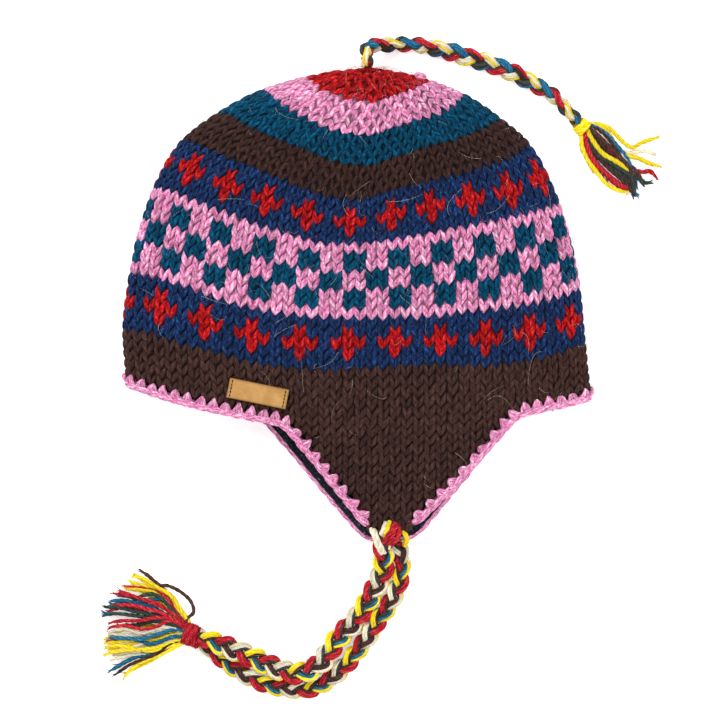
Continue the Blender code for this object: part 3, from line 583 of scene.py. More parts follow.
def tubes_piece(name, bundles, materials):
    """One mesh of many tubes. Each bundle holds tubes of as many rings and sides: centres,
    across, up, half widths, half heights, sides, shades, material index and turn."""
    points, loops, sizes, uvs, shades, slots = [], [], [], [], [], []
    first = 0
    rng = np.random.default_rng(len(name) + 7)
    for bundle in bundles:
        centres = bundle["centres"]
        count, rings = centres.shape[:2]
        sides = bundle.get("sides", 6)
        angle = 2 * math.pi * np.arange(sides) / sides
        turn = bundle.get("turn", np.zeros((count, rings)))
        lobe = 1 + bundle.get("lobes", 0.0) * np.cos(2 * (angle - turn[..., None]))
        across = (bundle["widths"][..., None] * np.cos(angle) * lobe)[..., None]
        rise = (bundle["heights"][..., None] * np.sin(angle) * lobe)[..., None]
        ring = (
            centres[:, :, None]
            + across * bundle["across"][:, :, None]
            + rise * bundle["up"][:, :, None]
        )
        ring[..., 2] = np.maximum(ring[..., 2], 0.0001)
        points.append(ring.reshape(-1, 3))
        index = first + np.arange(count * rings * sides).reshape(count, rings, sides)
        first += count * rings * sides
        after = np.roll(index, -1, axis=2)
        quads = np.stack([index[:, :-1], after[:, :-1], after[:, 1:], index[:, 1:]], axis=-1)
        loops.append(quads.reshape(-1))
        sizes.append(np.full(count * (rings - 1) * sides, 4))
        caps = np.stack([index[:, 0, ::-1], index[:, -1]], axis=1)
        loops.append(caps.reshape(-1))
        sizes.append(np.full(count * 2, sides))
        steps = np.linalg.norm(np.diff(centres, axis=1), axis=2)
        along = np.concatenate([np.zeros((count, 1)), np.cumsum(steps, axis=1)], axis=1) * 1000
        along = along + rng.uniform(0, 500, (count, 1))
        girth = 2 * math.pi * 1000 * np.median(bundle["widths"])
        around = np.arange(sides + 1) / sides * girth
        skew = turn * girth / (2 * math.pi)
        low_u = around[None, None, :-1] - skew[:, :-1, None]
        high_u = around[None, None, 1:] - skew[:, :-1, None]
        low_next = around[None, None, :-1] - skew[:, 1:, None]
        high_next = around[None, None, 1:] - skew[:, 1:, None]
        v_low = np.repeat(along[:, :-1, None], sides, axis=2)
        v_high = np.repeat(along[:, 1:, None], sides, axis=2)
        corner_u = np.stack([low_u, high_u, high_next, low_next], axis=-1)
        corner_v = np.stack([v_low, v_low, v_high, v_high], axis=-1)
        uvs.append(np.stack([corner_u, corner_v], axis=-1).reshape(-1, 2))
        cap_u = np.broadcast_to(around[None, None, :-1], (count, 2, sides))
        cap_v = np.broadcast_to(np.stack([along[:, 0], along[:, -1]], axis=1)[..., None], cap_u.shape)
        uvs.append(np.stack([cap_u, cap_v], axis=-1).reshape(-1, 2))
        shades.append(np.repeat(bundle["shades"], rings * sides))
        material = np.broadcast_to(bundle["material"], (count,))
        slots.append(np.repeat(material, (rings - 1) * sides))
        slots.append(np.repeat(material, 2))
    points, loops = np.concatenate(points), np.concatenate(loops)
    sizes, uvs = np.concatenate(sizes), np.concatenate(uvs)
    mesh = bpy.data.meshes.new(name)
    mesh.vertices.add(len(points))
    mesh.vertices.foreach_set("co", points.reshape(-1).astype(np.float32))
    mesh.loops.add(len(loops))
    mesh.loops.foreach_set("vertex_index", loops.astype(np.int32))
    mesh.polygons.add(len(sizes))
    starts = np.concatenate([[0], np.cumsum(sizes)[:-1]])
    mesh.polygons.foreach_set("loop_start", starts.astype(np.int32))
    mesh.polygons.foreach_set("use_smooth", np.ones(len(sizes), bool))
    for material in materials:
        mesh.materials.append(material)
    mesh.polygons.foreach_set("material_index", np.concatenate(slots).astype(np.int32))
    mesh.update(calc_edges=True)
    layer = mesh.uv_layers.new(name="UVMap")
    layer.data.foreach_set("uv", uvs.reshape(-1).astype(np.float32))
    shade = mesh.attributes.new("shade", "FLOAT", "POINT")
    shade.data.foreach_set("value", np.concatenate(shades).astype(np.float32))
    piece = bpy.data.objects.new(name, mesh)
    bpy.context.scene.collection.objects.link(piece)
    return piece


def line_frames(line, upright):
    """The ways across and up along a line, with up as near as may be to upright."""
    forward = unit(np.gradient(line, axis=0))
    across = unit(np.cross(np.broadcast_to(upright, line.shape), forward))
    return across, np.cross(forward, across)


def yarn_bundle(line, radius, material, rng, sides=8, pitch=0.009, upright=(0.0, 0.0, 1.0), taper=0.0, lobes=0.11):
    """One yarn of two plies that follows the line."""
    across, up = line_frames(line, upright)
    steps = np.linalg.norm(np.diff(line, axis=0), axis=1)
    along = np.concatenate([[0.0], np.cumsum(steps)])
    turn = 2 * math.pi * along / pitch + rng.uniform(0, 6.28)
    size = np.full(len(line), radius) * (1 + 0.05 * np.sin(along * 700 + rng.uniform(0, 6.28)))
    if taper:
        left = (along[-1] - along) / taper
        size = size * np.clip(0.45 + 0.55 * left, 0.45, 1.0)
    return {
        "centres": line[None],
        "across": across[None],
        "up": up[None],
        "widths": size[None],
        "heights": size[None],
        "sides": sides,
        "turn": turn[None],
        "lobes": lobes,
        "shades": rng.uniform(0.25, 0.85, 1),
        "material": material,
    }


def smooth_line(points, spacing):
    """Points about a spacing apart on the smooth curve through the given ones."""
    points = np.array(points, float)
    padded = np.concatenate([[2 * points[0] - points[1]], points, [2 * points[-1] - points[-2]]])
    fine = []
    for i in range(1, len(padded) - 2):
        a, b, c, d = padded[i - 1 : i + 3]
        for t in np.arange(0.0, 1.0, 0.1):
            linear, square, cube = (c - a) * t, (2 * a - 5 * b + 4 * c - d), (3 * b - a - 3 * c + d)
            fine.append(0.5 * (2 * b + linear + square * t**2 + cube * t**3))
    fine.append(points[-1])
    fine = np.array(fine)
    length = np.linalg.norm(np.diff(fine, axis=0), axis=1).sum()
    return evenly(fine, max(2, round(length / spacing)))


# ---------------------------------------------------------------- materials


def linear(tone):
    """A colour of 0 to 255 as linear RGB with alpha."""
    shares = [value / 255 for value in tone]
    return tuple(s / 12.92 if s <= 0.04045 else ((s + 0.055) / 1.055) ** 2.4 for s in shares) + (1.0,)


def node(tree, kind, place, **values):
    """A node at a place, with its settings and its sockets' plain values."""
    made = tree.nodes.new(kind)
    made.location = place
    for name, value in values.items():
        if name in made.inputs:
            made.inputs[name].default_value = value
        else:
            setattr(made, name, value)
    return made


def new_group(name, inputs, outputs):
    """A shader node group with its sockets: name, kind and default of each input."""
    tree = bpy.data.node_groups.new(name, "ShaderNodeTree")
    for label, kind, default in inputs:
        socket = tree.interface.new_socket(label, in_out="INPUT", socket_type=kind)
        if default is not None:
            socket.default_value = default
    for label, kind in outputs:
        tree.interface.new_socket(label, in_out="OUTPUT", socket_type=kind)
    return tree, tree.nodes.new("NodeGroupInput"), tree.nodes.new("NodeGroupOutput")


def math_node(tree, operation, first, second, place):
    """A Math node whose inputs are sockets or numbers."""
    made = node(tree, "ShaderNodeMath", place, operation=operation)
    for socket, value in zip(made.inputs, (first, second)):
        if isinstance(value, (int, float)):
            socket.default_value = value
        else:
            tree.links.new(value, socket)
    return made.outputs[0]


def range_node(tree, value, low, high, place, to_low=0.0, to_high=1.0):
    """A smooth step of a value from one range to another."""
    made = node(tree, "ShaderNodeMapRange", place, interpolation_type="SMOOTHSTEP")
    made.inputs["From Min"].default_value = low
    made.inputs["From Max"].default_value = high
    made.inputs["To Min"].default_value = to_low
    made.inputs["To Max"].default_value = to_high
    tree.links.new(value, made.inputs["Value"])
    return made.outputs["Result"]


def mix_node(tree, factor, first, second, place, blend="MIX"):
    """A Mix of two colours."""
    made = node(tree, "ShaderNodeMix", place, data_type="RGBA", blend_type=blend)
    for socket, value in zip((made.inputs[0], made.inputs[6], made.inputs[7]), (factor, first, second)):
        if isinstance(value, (int, float, tuple)):
            socket.default_value = value
        else:
            tree.links.new(value, socket)
    return made.outputs[2]


def noise_node(tree, vector, stretch, scale, place, detail=3.0, roughness=0.6):
    """Noise on a vector stretched along its axes."""
    stretched = node(tree, "ShaderNodeVectorMath", (place[0] - 200, place[1]), operation="MULTIPLY")
    stretched.inputs[1].default_value = stretch
    tree.links.new(vector, stretched.inputs[0])
    made = node(tree, "ShaderNodeTexNoise", place, Scale=scale, Detail=detail, Roughness=roughness)
    tree.links.new(stretched.outputs[0], made.inputs["Vector"])
    return made.outputs["Fac"]


def build_yarn_group():
    """The streaked fibres of a wool yarn, on a UV map in millimetres round and along it, with its ply lines painted
    into the colour as shade in the grooves and highlight on the crests.
    """
    colours = [(label, "NodeSocketColor", (0.5, 0.5, 0.5, 1.0)) for label in ("Shadow", "Main", "Light")]
    numbers = [("Shade", "NodeSocketFloat", 0.5), ("Heather", "NodeSocketFloat", 0.5)]
    tree, given, made = new_group(
        "wool_yarn", colours + numbers, [("Color", "NodeSocketColor"), ("Height", "NodeSocketFloat")]
    )
    links = tree.links
    uv = node(tree, "ShaderNodeUVMap", (-1200, 0), uv_map="UVMap").outputs["UV"]
    parts = node(tree, "ShaderNodeSeparateXYZ", (-1000, 500))
    links.new(uv, parts.inputs[0])
    round_it = math_node(tree, "MULTIPLY", parts.outputs["X"], 2.4, (-850, 560))
    along_it = math_node(tree, "MULTIPLY", parts.outputs["Y"], 1.0, (-850, 440))
    wander = noise_node(tree, uv, (0.5, 0.4, 1.0), 1.0, (-800, 320), 2.0)
    twist = math_node(tree, "ADD", math_node(tree, "ADD", round_it, along_it, (-700, 500)), math_node(tree, "MULTIPLY", wander, 5.0, (-700, 380)), (-550, 500))
    plies = math_node(tree, "SINE", twist, 0.0, (-400, 500))
    slanted = node(tree, "ShaderNodeVectorRotate", (-1000, 200), rotation_type="Z_AXIS")
    slanted.inputs["Angle"].default_value = 0.42
    links.new(uv, slanted.inputs["Vector"])
    streak = noise_node(tree, slanted.outputs[0], (1.5, 0.34, 1.0), 1.0, (-800, 200), 4.0, 0.68)
    drift = noise_node(tree, uv, (0.16, 0.11, 1.0), 1.0, (-800, 0), 2.0)
    fine = noise_node(tree, slanted.outputs[0], (4.5, 0.9, 1.0), 1.0, (-800, -200), 3.0, 0.75)
    reach = math_node(tree, "MULTIPLY", given.outputs["Heather"], 0.45, (-600, -400))
    wide = math_node(tree, "MULTIPLY", math_node(tree, "SUBTRACT", drift, 0.5, (-600, 0)), reach, (-450, 0))
    tone = math_node(tree, "ADD", streak, wide, (-300, 100))
    tone = math_node(
        tree, "ADD", tone, math_node(tree, "MULTIPLY", math_node(tree, "SUBTRACT", fine, 0.5, (-450, -200)), 0.6, (-300, -200)), (-150, 100)
    )
    # The ply lines shift the tone both ways: painted shade in the grooves between plies and painted highlight on their
    # crests
    tone = math_node(tree, "ADD", tone, math_node(tree, "MULTIPLY", plies, 0.075, (-150, 400)), (-50, 300))
    shadowed = mix_node(
        tree, range_node(tree, tone, 0.33, 0.52, (0, 200)), given.outputs["Shadow"], given.outputs["Main"], (150, 200)
    )
    lit = mix_node(tree, range_node(tree, tone, 0.53, 0.74, (0, 0)), shadowed, given.outputs["Light"], (300, 200))
    level = range_node(tree, given.outputs["Shade"], 0.0, 1.0, (150, -200), 0.80, 1.28)
    grey = node(tree, "ShaderNodeCombineColor", (300, -200))
    for socket in grey.inputs[:3]:
        links.new(level, socket)
    links.new(mix_node(tree, 1.0, lit, grey.outputs[0], (450, 100), "MULTIPLY"), made.inputs["Color"])
    relief = math_node(tree, "ADD", streak, math_node(tree, "MULTIPLY", fine, 0.6, (300, -400)), (450, -400))
    relief = math_node(tree, "ADD", relief, math_node(tree, "MULTIPLY", plies, 0.30, (450, -550)), (600, -450))
    links.new(relief, made.inputs["Height"])
    return tree


def build_fleece_group():
    """The lumpy curls of a short fleece, with painted highlight on the curls in its light tone."""
    tree, given, made = new_group(
        "fleece_curls",
        [(label, "NodeSocketColor", (0.1, 0.1, 0.1, 1.0)) for label in ("Shadow", "Main", "Light")],
        [("Color", "NodeSocketColor"), ("Height", "NodeSocketFloat")],
    )
    links = tree.links
    place = node(tree, "ShaderNodeTexCoord", (-900, 0)).outputs["Object"]
    lumps = noise_node(tree, place, (1.0, 1.0, 1.0), 520.0, (-500, 100), 2.0)
    curls = noise_node(tree, place, (1.0, 1.0, 1.0), 1900.0, (-500, -100), 3.0)
    both = math_node(tree, "ADD", math_node(tree, "MULTIPLY", lumps, 0.6, (-300, 100)), math_node(tree, "MULTIPLY", curls, 0.4, (-300, -100)), (-150, 0))
    dark = mix_node(tree, range_node(tree, both, 0.36, 0.52, (0, 100)), given.outputs["Shadow"], given.outputs["Main"], (150, 100))
    # Where both noises run high, the light tone paints highlight on the curls
    links.new(mix_node(tree, range_node(tree, both, 0.55, 0.70, (0, -100)), dark, given.outputs["Light"], (300, 0)), made.inputs["Color"])
    links.new(both, made.inputs["Height"])
    return tree


def build_leather_group():
    """Fine-grained leather, darker towards its burnished edges, which its border attribute gives."""
    tree, given, made = new_group(
        "leather_grain",
        [(label, "NodeSocketColor", (0.5, 0.3, 0.1, 1.0)) for label in ("Shadow", "Main", "Light")],
        [("Color", "NodeSocketColor"), ("Height", "NodeSocketFloat")],
    )
    links = tree.links
    place = node(tree, "ShaderNodeTexCoord", (-900, 0)).outputs["Object"]
    cloud = noise_node(tree, place, (1.0, 1.0, 1.0), 160.0, (-500, 200), 4.0)
    grain = noise_node(tree, place, (1.0, 1.0, 1.0), 2600.0, (-500, 0), 2.0)
    edge = node(tree, "ShaderNodeAttribute", (-700, -300), attribute_name="border").outputs["Fac"]
    tone = mix_node(tree, range_node(tree, cloud, 0.35, 0.70, (-200, 200)), given.outputs["Main"], given.outputs["Light"], (0, 200))
    worn = mix_node(tree, math_node(tree, "MULTIPLY", edge, 0.85, (-200, -300)), tone, given.outputs["Shadow"], (200, 100))
    links.new(worn, made.inputs["Color"])
    links.new(math_node(tree, "ADD", grain, math_node(tree, "MULTIPLY", cloud, 0.5, (0, -100)), (200, -100)), made.inputs["Height"])
    return tree


def group_material(name, group, tones, bump, distance, roughness, sheen, values=(), shade=False):
    """A finished material: a node group's colours and relief on a Principled shader."""
    material = bpy.data.materials.new(name)
    material.use_nodes = True
    tree = material.node_tree
    shader = tree.nodes["Principled BSDF"]
    pattern = node(tree, "ShaderNodeGroup", (-500, 0), node_tree=group)
    for label, tone in zip(("Shadow", "Main", "Light"), tones):
        pattern.inputs[label].default_value = tone
    for label, value in values:
        pattern.inputs[label].default_value = value
    if shade:
        part = node(tree, "ShaderNodeAttribute", (-750, -200), attribute_name="shade")
        tree.links.new(part.outputs["Fac"], pattern.inputs["Shade"])
    relief = node(tree, "ShaderNodeBump", (-250, -200), Strength=bump, Distance=distance)
    tree.links.new(pattern.outputs["Height"], relief.inputs["Height"])
    tree.links.new(pattern.outputs["Color"], shader.inputs["Base Color"])
    tree.links.new(relief.outputs["Normal"], shader.inputs["Normal"])
    shader.inputs["Roughness"].default_value = roughness
    shader.inputs["Specular IOR Level"].default_value = 0.12
    shader.inputs["Sheen Weight"].default_value = sheen
    shader.inputs["Sheen Roughness"].default_value = 0.4
    shader.inputs["Sheen Tint"].default_value = tuple(0.5 + 0.5 * v for v in tones[2][:3]) + (1.0,)
    return material


def yarn_tones(name):
    """The three tones of a yarn: its main colour from the settings, the others beside it."""
    dark, main, light = (np.array(linear(tone)[:3]) for tone in TONES[name])
    chosen = np.array(getattr(hat_settings(), f"{name}_yarn")[:])
    change = chosen / np.maximum(main, 1e-4)
    return [tuple(np.clip(tone * change, 0, 1)) + (1.0,) for tone in (dark, main, light)]


def yarn_material(name, dim=1.0):
    """The material of one yarn, made once. Dim darkens a copy of its tones: painted shade for the same yarn deep
    between stitches and in the cores of the crochet and the bindings, and the darker tone of the label's thread.
    """
    label = f"{name} wool" if dim == 1.0 else f"{name} wool, deep"
    if label in bpy.data.materials:
        return bpy.data.materials[label]
    group = bpy.data.node_groups.get("wool_yarn") or build_yarn_group()
    tones = [tuple(dim * v for v in tone[:3]) + (1.0,) for tone in yarn_tones(name)]
    sheen = 0.10 if name in ("pink", "cream", "yellow") else 0.03
    return group_material(label, group, tones, 0.85, 0.0007, 1.0, sheen, (("Heather", 0.9 if name == "pink" else 0.5),), True)


# ---------------------------------------------------------------- knitting


def stitch_yarn(column, row):
    """The yarn of a stitch below the crown's stripes."""
    if row not in PATTERN:
        return "brown"
    return YARN_LETTERS[PATTERN[row][column % 4]]


def row_shift(turns, rows):
    """How far up from its even place the knitting lies at each turn and row."""
    table = np.array(ROW_SHIFTS)
    turns = np.mod(turns, 4.0)
    levels = np.stack([np.interp(turns, table[:, 0], column) for column in table[:, 1:].T], axis=-1)
    places = np.array(SHIFT_ROWS)
    index = np.clip(np.searchsorted(places, rows, side="right") - 1, 0, len(places) - 2)
    t = np.clip((rows - places[index]) / (places[index + 1] - places[index]), 0.0, 1.0)
    low = np.take_along_axis(levels, index[..., None], axis=-1)[..., 0]
    high = np.take_along_axis(levels, index[..., None] + 1, axis=-1)[..., 0]
    return low * (1 - t) + high * t


def stitch_rows():
    """Every row of stitches: its first row, its height in rows, turns, and yarns."""
    count = 4 * QUARTER_STITCHES
    turns = np.arange(count) / QUARTER_STITCHES
    edges = edge_rows(turns) - NEAR_TIP_ROWS * near_tip(turns)
    rows = []
    for row in range(-13, PLAIN_ROWS):
        kept = np.arange(count) if row >= 0 else np.flatnonzero(edges < row + 0.95)
        if len(kept):
            rows.append((float(row), 1.0, turns[kept], [stitch_yarn(j, row) for j in kept], 1.0 / QUARTER_STITCHES))
    for low, high, number, yarn in CROWN_STRIPES:
        step = (high - low) / number
        for i in range(number):
            row = low + i * step
            ring = surface(np.linspace(0, 4, 201), row + step / 2)
            length = np.linalg.norm(np.diff(ring, axis=0), axis=1).sum()
            stitches = max(8, 4 * round(length / 4 / STITCH_WIDTH))
            places = (np.arange(stitches) + 0.5 * (i % 2)) * 4.0 / stitches
            rows.append((row, step, places, [yarn] * stitches, 4.0 / stitches))
    return rows


# The middle line of a stitch's right leg: share of its height, across in stitches, how
# deep below the crest in leg heights, width as a share of the widest
LEG = (
    (-0.36, 0.010, 1.00, 0.20),
    (-0.08, 0.080, 0.30, 0.62),
    (0.22, 0.178, 0.02, 0.95),
    (0.56, 0.292, 0.02, 1.00),
    (0.90, 0.390, 0.45, 0.72),
    (1.18, 0.440, 1.60, 0.24),
)


def stitches_piece(name, rows, seed, shade):
    """The stitches of some rows as one mesh of two plump legs each."""
    rng = np.random.default_rng(seed)
    values = hat_settings()
    leg = np.array(LEG)
    turns, bases, heights, widths, yarns = [], [], [], [], []
    for row, height, places, colours, width in rows:
        turns.append(places)
        bases.append(np.full(len(places), row))
        heights.append(np.full(len(places), height))
        widths.append(np.full(len(places), width))
        yarns += [KNIT_YARNS.index(colour) for colour in colours]
    turns, bases = np.concatenate(turns), np.concatenate(bases)
    heights, widths = np.concatenate(heights), np.concatenate(widths)
    count = len(turns)
    middle = surface(turns, bases + heights / 2)
    span = np.linalg.norm(surface(turns + widths / 2, bases + heights / 2) - surface(turns - widths / 2, bases + heights / 2), axis=1)
    tall = np.linalg.norm(surface(turns, bases + heights) - surface(turns, bases), axis=1)
    wave = 0.05 * np.sin(turns * 9.1 + bases * 0.7) + 0.04 * np.sin(turns * 23.0 - bases * 1.9)
    wave = wave + row_shift(turns, bases + heights / 2)
    deep = 0.44 * ((np.array(yarns) == KNIT_YARNS.index("brown")) & (bases > PLAIN_ROWS - 1))
    bundles = []
    for hand in (-1.0, 1.0):
        lean = 1 + np.clip(rng.normal(0, 0.14, count), -0.3, 0.3)
        reach = 1 + np.clip(rng.normal(0, 0.07, count), -0.16, 0.16)
        plump = 1 + np.clip(rng.normal(0, 0.08, count), -0.2, 0.2)
        shift = np.clip(rng.normal(0, 0.026, count), -0.06, 0.06)
        sink = np.abs(rng.normal(0, 0.00025, count))
        v = 0.5 + (leg[None, :, 0] - 0.5) * reach[:, None]
        u = hand * leg[None, :, 1] * lean[:, None] + shift[:, None]
        u = u + values.stitch_slant * (v - 0.4)
        row = bases[:, None] + heights[:, None] * v + wave[:, None]
        row = np.minimum(row, CROWN_ROW - 0.05)
        turn = turns[:, None] + u * widths[:, None]
        outer, normal = surface(turn, row), surface_normals(turn, row)
        half_width = values.leg_width * np.minimum(span / 0.0069, 1.12) * plump
        half_height = np.minimum(values.leg_rise, half_width * 1.05)
        depth = half_height[:, None] * (1.0 + leg[None, :, 2]) + sink[:, None]
        centres = outer - depth[..., None] * normal
        forward = unit(np.gradient(centres, axis=1))
        across = unit(np.cross(normal, forward))
        up = np.cross(forward, across)
        share = leg[None, :, 3]
        bundles.append(
            {
                "centres": centres,
                "across": across,
                "up": up,
                "widths": half_width[:, None] * share,
                "heights": half_height[:, None] * np.sqrt(share),
                "sides": 6,
                "shades": np.clip(rng.normal(shade, 0.24, count) - deep, 0, 1),
                "material": np.array(yarns),
            }
        )
    piece = tubes_piece(name, bundles, [yarn_material(yarn) for yarn in KNIT_YARNS])
    return finish_piece(piece, "knitted_wool")


def shell_rows():
    """The rows of the knitting's backing at each of its columns, from the edge up."""
    turns = np.linspace(0.0, 4.0, 8 * QUARTER_STITCHES + 1)
    edges = edge_rows(turns) - NEAR_TIP_ROWS * near_tip(turns)
    shares = np.linspace(0.0, 1.0, 21)[:, None]
    lower = edges * (1 - shares) + 10.0 * shares
    upper = np.concatenate([np.arange(10.5, 36.6, 0.5), [36.8, 37.0]])
    upper = np.repeat(upper[:, None], len(turns), axis=1)
    return turns, np.concatenate([lower, upper])


def backing_piece():
    """The inner face of the knitting, behind the stitches, with its yarns row by row, dimmed as painted shade in the
    gaps between the stitches.
    """
    turns, rows = shell_rows()
    turns = np.broadcast_to(turns, rows.shape)
    places = surface(turns, rows) - 0.0026 * surface_normals(turns, rows)
    places[-1] = places[-1].mean(axis=0)
    piece = grid_piece("knit_backing", places)
    # Each yarn dimmed to 0.45: painted shade where the backing shows between the stitches
    for yarn in KNIT_YARNS:
        piece.data.materials.append(yarn_material(yarn, 0.45))
    columns = rows.shape[1] - 1
    for polygon in piece.data.polygons:
        i, j = divmod(polygon.index, columns)
        row, turn = rows[i : i + 2, j].mean(), turns[i, j : j + 2].mean()
        yarn = stitch_yarn(int(round(turn * QUARTER_STITCHES)), math.floor(row))
        for low, high, _, stripe in CROWN_STRIPES:
            if low <= row <= high:
                yarn = stripe
        polygon.material_index = KNIT_YARNS.index(yarn)
    layer = piece.data.uv_layers[0] if piece.data.uv_layers else piece.data.uv_layers.new(name="UVMap")
    layer.name = "UVMap"
    corners = np.empty(len(piece.data.loops), np.int32)
    piece.data.loops.foreach_get("vertex_index", corners)
    along = np.stack([turns.reshape(-1)[corners] * 145.0, rows.reshape(-1)[corners] * 5.7], axis=1)
    layer.data.foreach_set("uv", along.reshape(-1).astype(np.float32))
    shade = piece.data.attributes.new("shade", "FLOAT", "POINT")
    shade.data.foreach_set("value", np.full(len(piece.data.vertices), 0.5, np.float32))
    clean_piece(piece)
    apply_modifier(piece, "SOLIDIFY", thickness=KNIT_WALL - 0.0026, offset=-1.0)
    clamp_floor(piece)
    smooth_piece(piece)
    return finish_piece(piece, "knitted_wool", "knitted_shell")


def clamp_floor(piece):
    """No point of the piece lies below the surface that the hat rests on."""
    places = np.empty(len(piece.data.vertices) * 3, np.float32)
    piece.data.vertices.foreach_get("co", places)
    places[2::3] = np.maximum(places[2::3], 0.0001)
    piece.data.vertices.foreach_set("co", places)
    piece.data.update()


# ---------------------------------------------------------------- the edge of the hat


def edge_line(count):
    """The knitting's edge as even points, with the ways along, out and off the cloth, and
    its length and turns."""
    turns = np.linspace(0.0, 4.0, 4001)
    line = surface(turns, edge_rows(turns))
    steps = np.linalg.norm(np.diff(line, axis=0), axis=1)
    along = np.concatenate([[0.0], np.cumsum(steps)])
    wanted = np.interp(np.arange(count) * along[-1] / count, along, turns)
    points = surface(wanted, edge_rows(wanted))
    normals = surface_normals(wanted, edge_rows(wanted))
    ahead = unit(np.roll(points, -1, axis=0) - np.roll(points, 1, axis=0))
    smooth = ahead
    for _ in range(3):
        smooth = unit(np.roll(smooth, 1, axis=0) + smooth + np.roll(smooth, -1, axis=0))
    out = unit(np.cross(smooth, normals))
    return points, smooth, out, normals, along[-1], wanted


def edge_points(edge, places, outs, depths):
    """Places beside the edge: a share of a turn round it, out from it, and into its cloth."""
    points, _, out, normals, _, _ = edge
    count = len(points)
    index = np.mod(places, 1.0) * count
    low = index.astype(int) % count
    high, t = (low + 1) % count, (index - np.floor(index))[..., None]
    blend = lambda table: table[low] * (1 - t) + table[high] * t
    normal = unit(blend(normals))
    return blend(points) + outs[..., None] * unit(blend(out)) - depths[..., None] * normal, normal


# How much longer the crochet stitches are on the flanks of the flaps
FLANK_SPREAD = 0.26
# The strands of one crochet stitch: radius, then points of share along the stitch,
# millimetres out from the knitting and millimetres into its cloth
CHAIN_LEGS = (
    (1.15, (-0.58, 4.0, 1.5), (-0.22, 3.2, 0.6), (0.25, 3.0, 0.4), (0.62, 3.8, 1.3)),
    (1.15, (-0.52, 4.4, 1.6), (-0.14, 4.9, 0.7), (0.30, 5.0, 0.6), (0.66, 4.4, 1.5)),
    (1.05, (-0.50, 5.7, 2.4), (-0.10, 6.2, 1.7), (0.30, 6.1, 1.8), (0.62, 5.6, 2.8)),
    (1.05, (-0.50, 5.5, 3.0), (-0.10, 6.2, 3.4), (0.30, 6.2, 3.3), (0.62, 5.7, 2.6)),
    (1.10, (-0.52, 4.4, 3.4), (-0.14, 4.9, 4.2), (0.30, 5.0, 4.3), (0.66, 4.4, 3.5)),
    (1.10, (-0.58, 4.0, 3.5), (-0.22, 3.2, 4.3), (0.25, 3.0, 4.5), (0.62, 3.8, 3.7)),
)
SPIKE_STRANDS = (
    (0.95, (-0.36, 3.3, 1.0), (-0.32, 2.0, 0.1), (-0.24, 0.6, -0.5), (-0.13, -0.4, -0.3), (-0.06, -0.7, 1.0)),
    (0.95, (-0.15, 3.3, 0.8), (-0.13, 1.9, -0.2), (-0.10, 0.3, -0.8), (-0.05, -0.9, -0.6), (-0.01, -1.4, 0.8)),
    (0.95, (0.12, 3.3, 0.8), (0.12, 1.9, -0.2), (0.09, 0.3, -0.8), (0.06, -0.8, -0.5), (0.03, -1.2, 0.9)),
    (0.95, (0.32, 3.3, 1.0), (0.29, 2.0, 0.1), (0.22, 0.6, -0.5), (0.13, -0.3, -0.3), (0.07, -0.6, 1.1)),
    (0.85, (0.0, 2.4, 4.0), (0.0, 1.2, 4.5), (0.0, 0.0, 4.7), (0.0, -1.0, 4.5)),
)


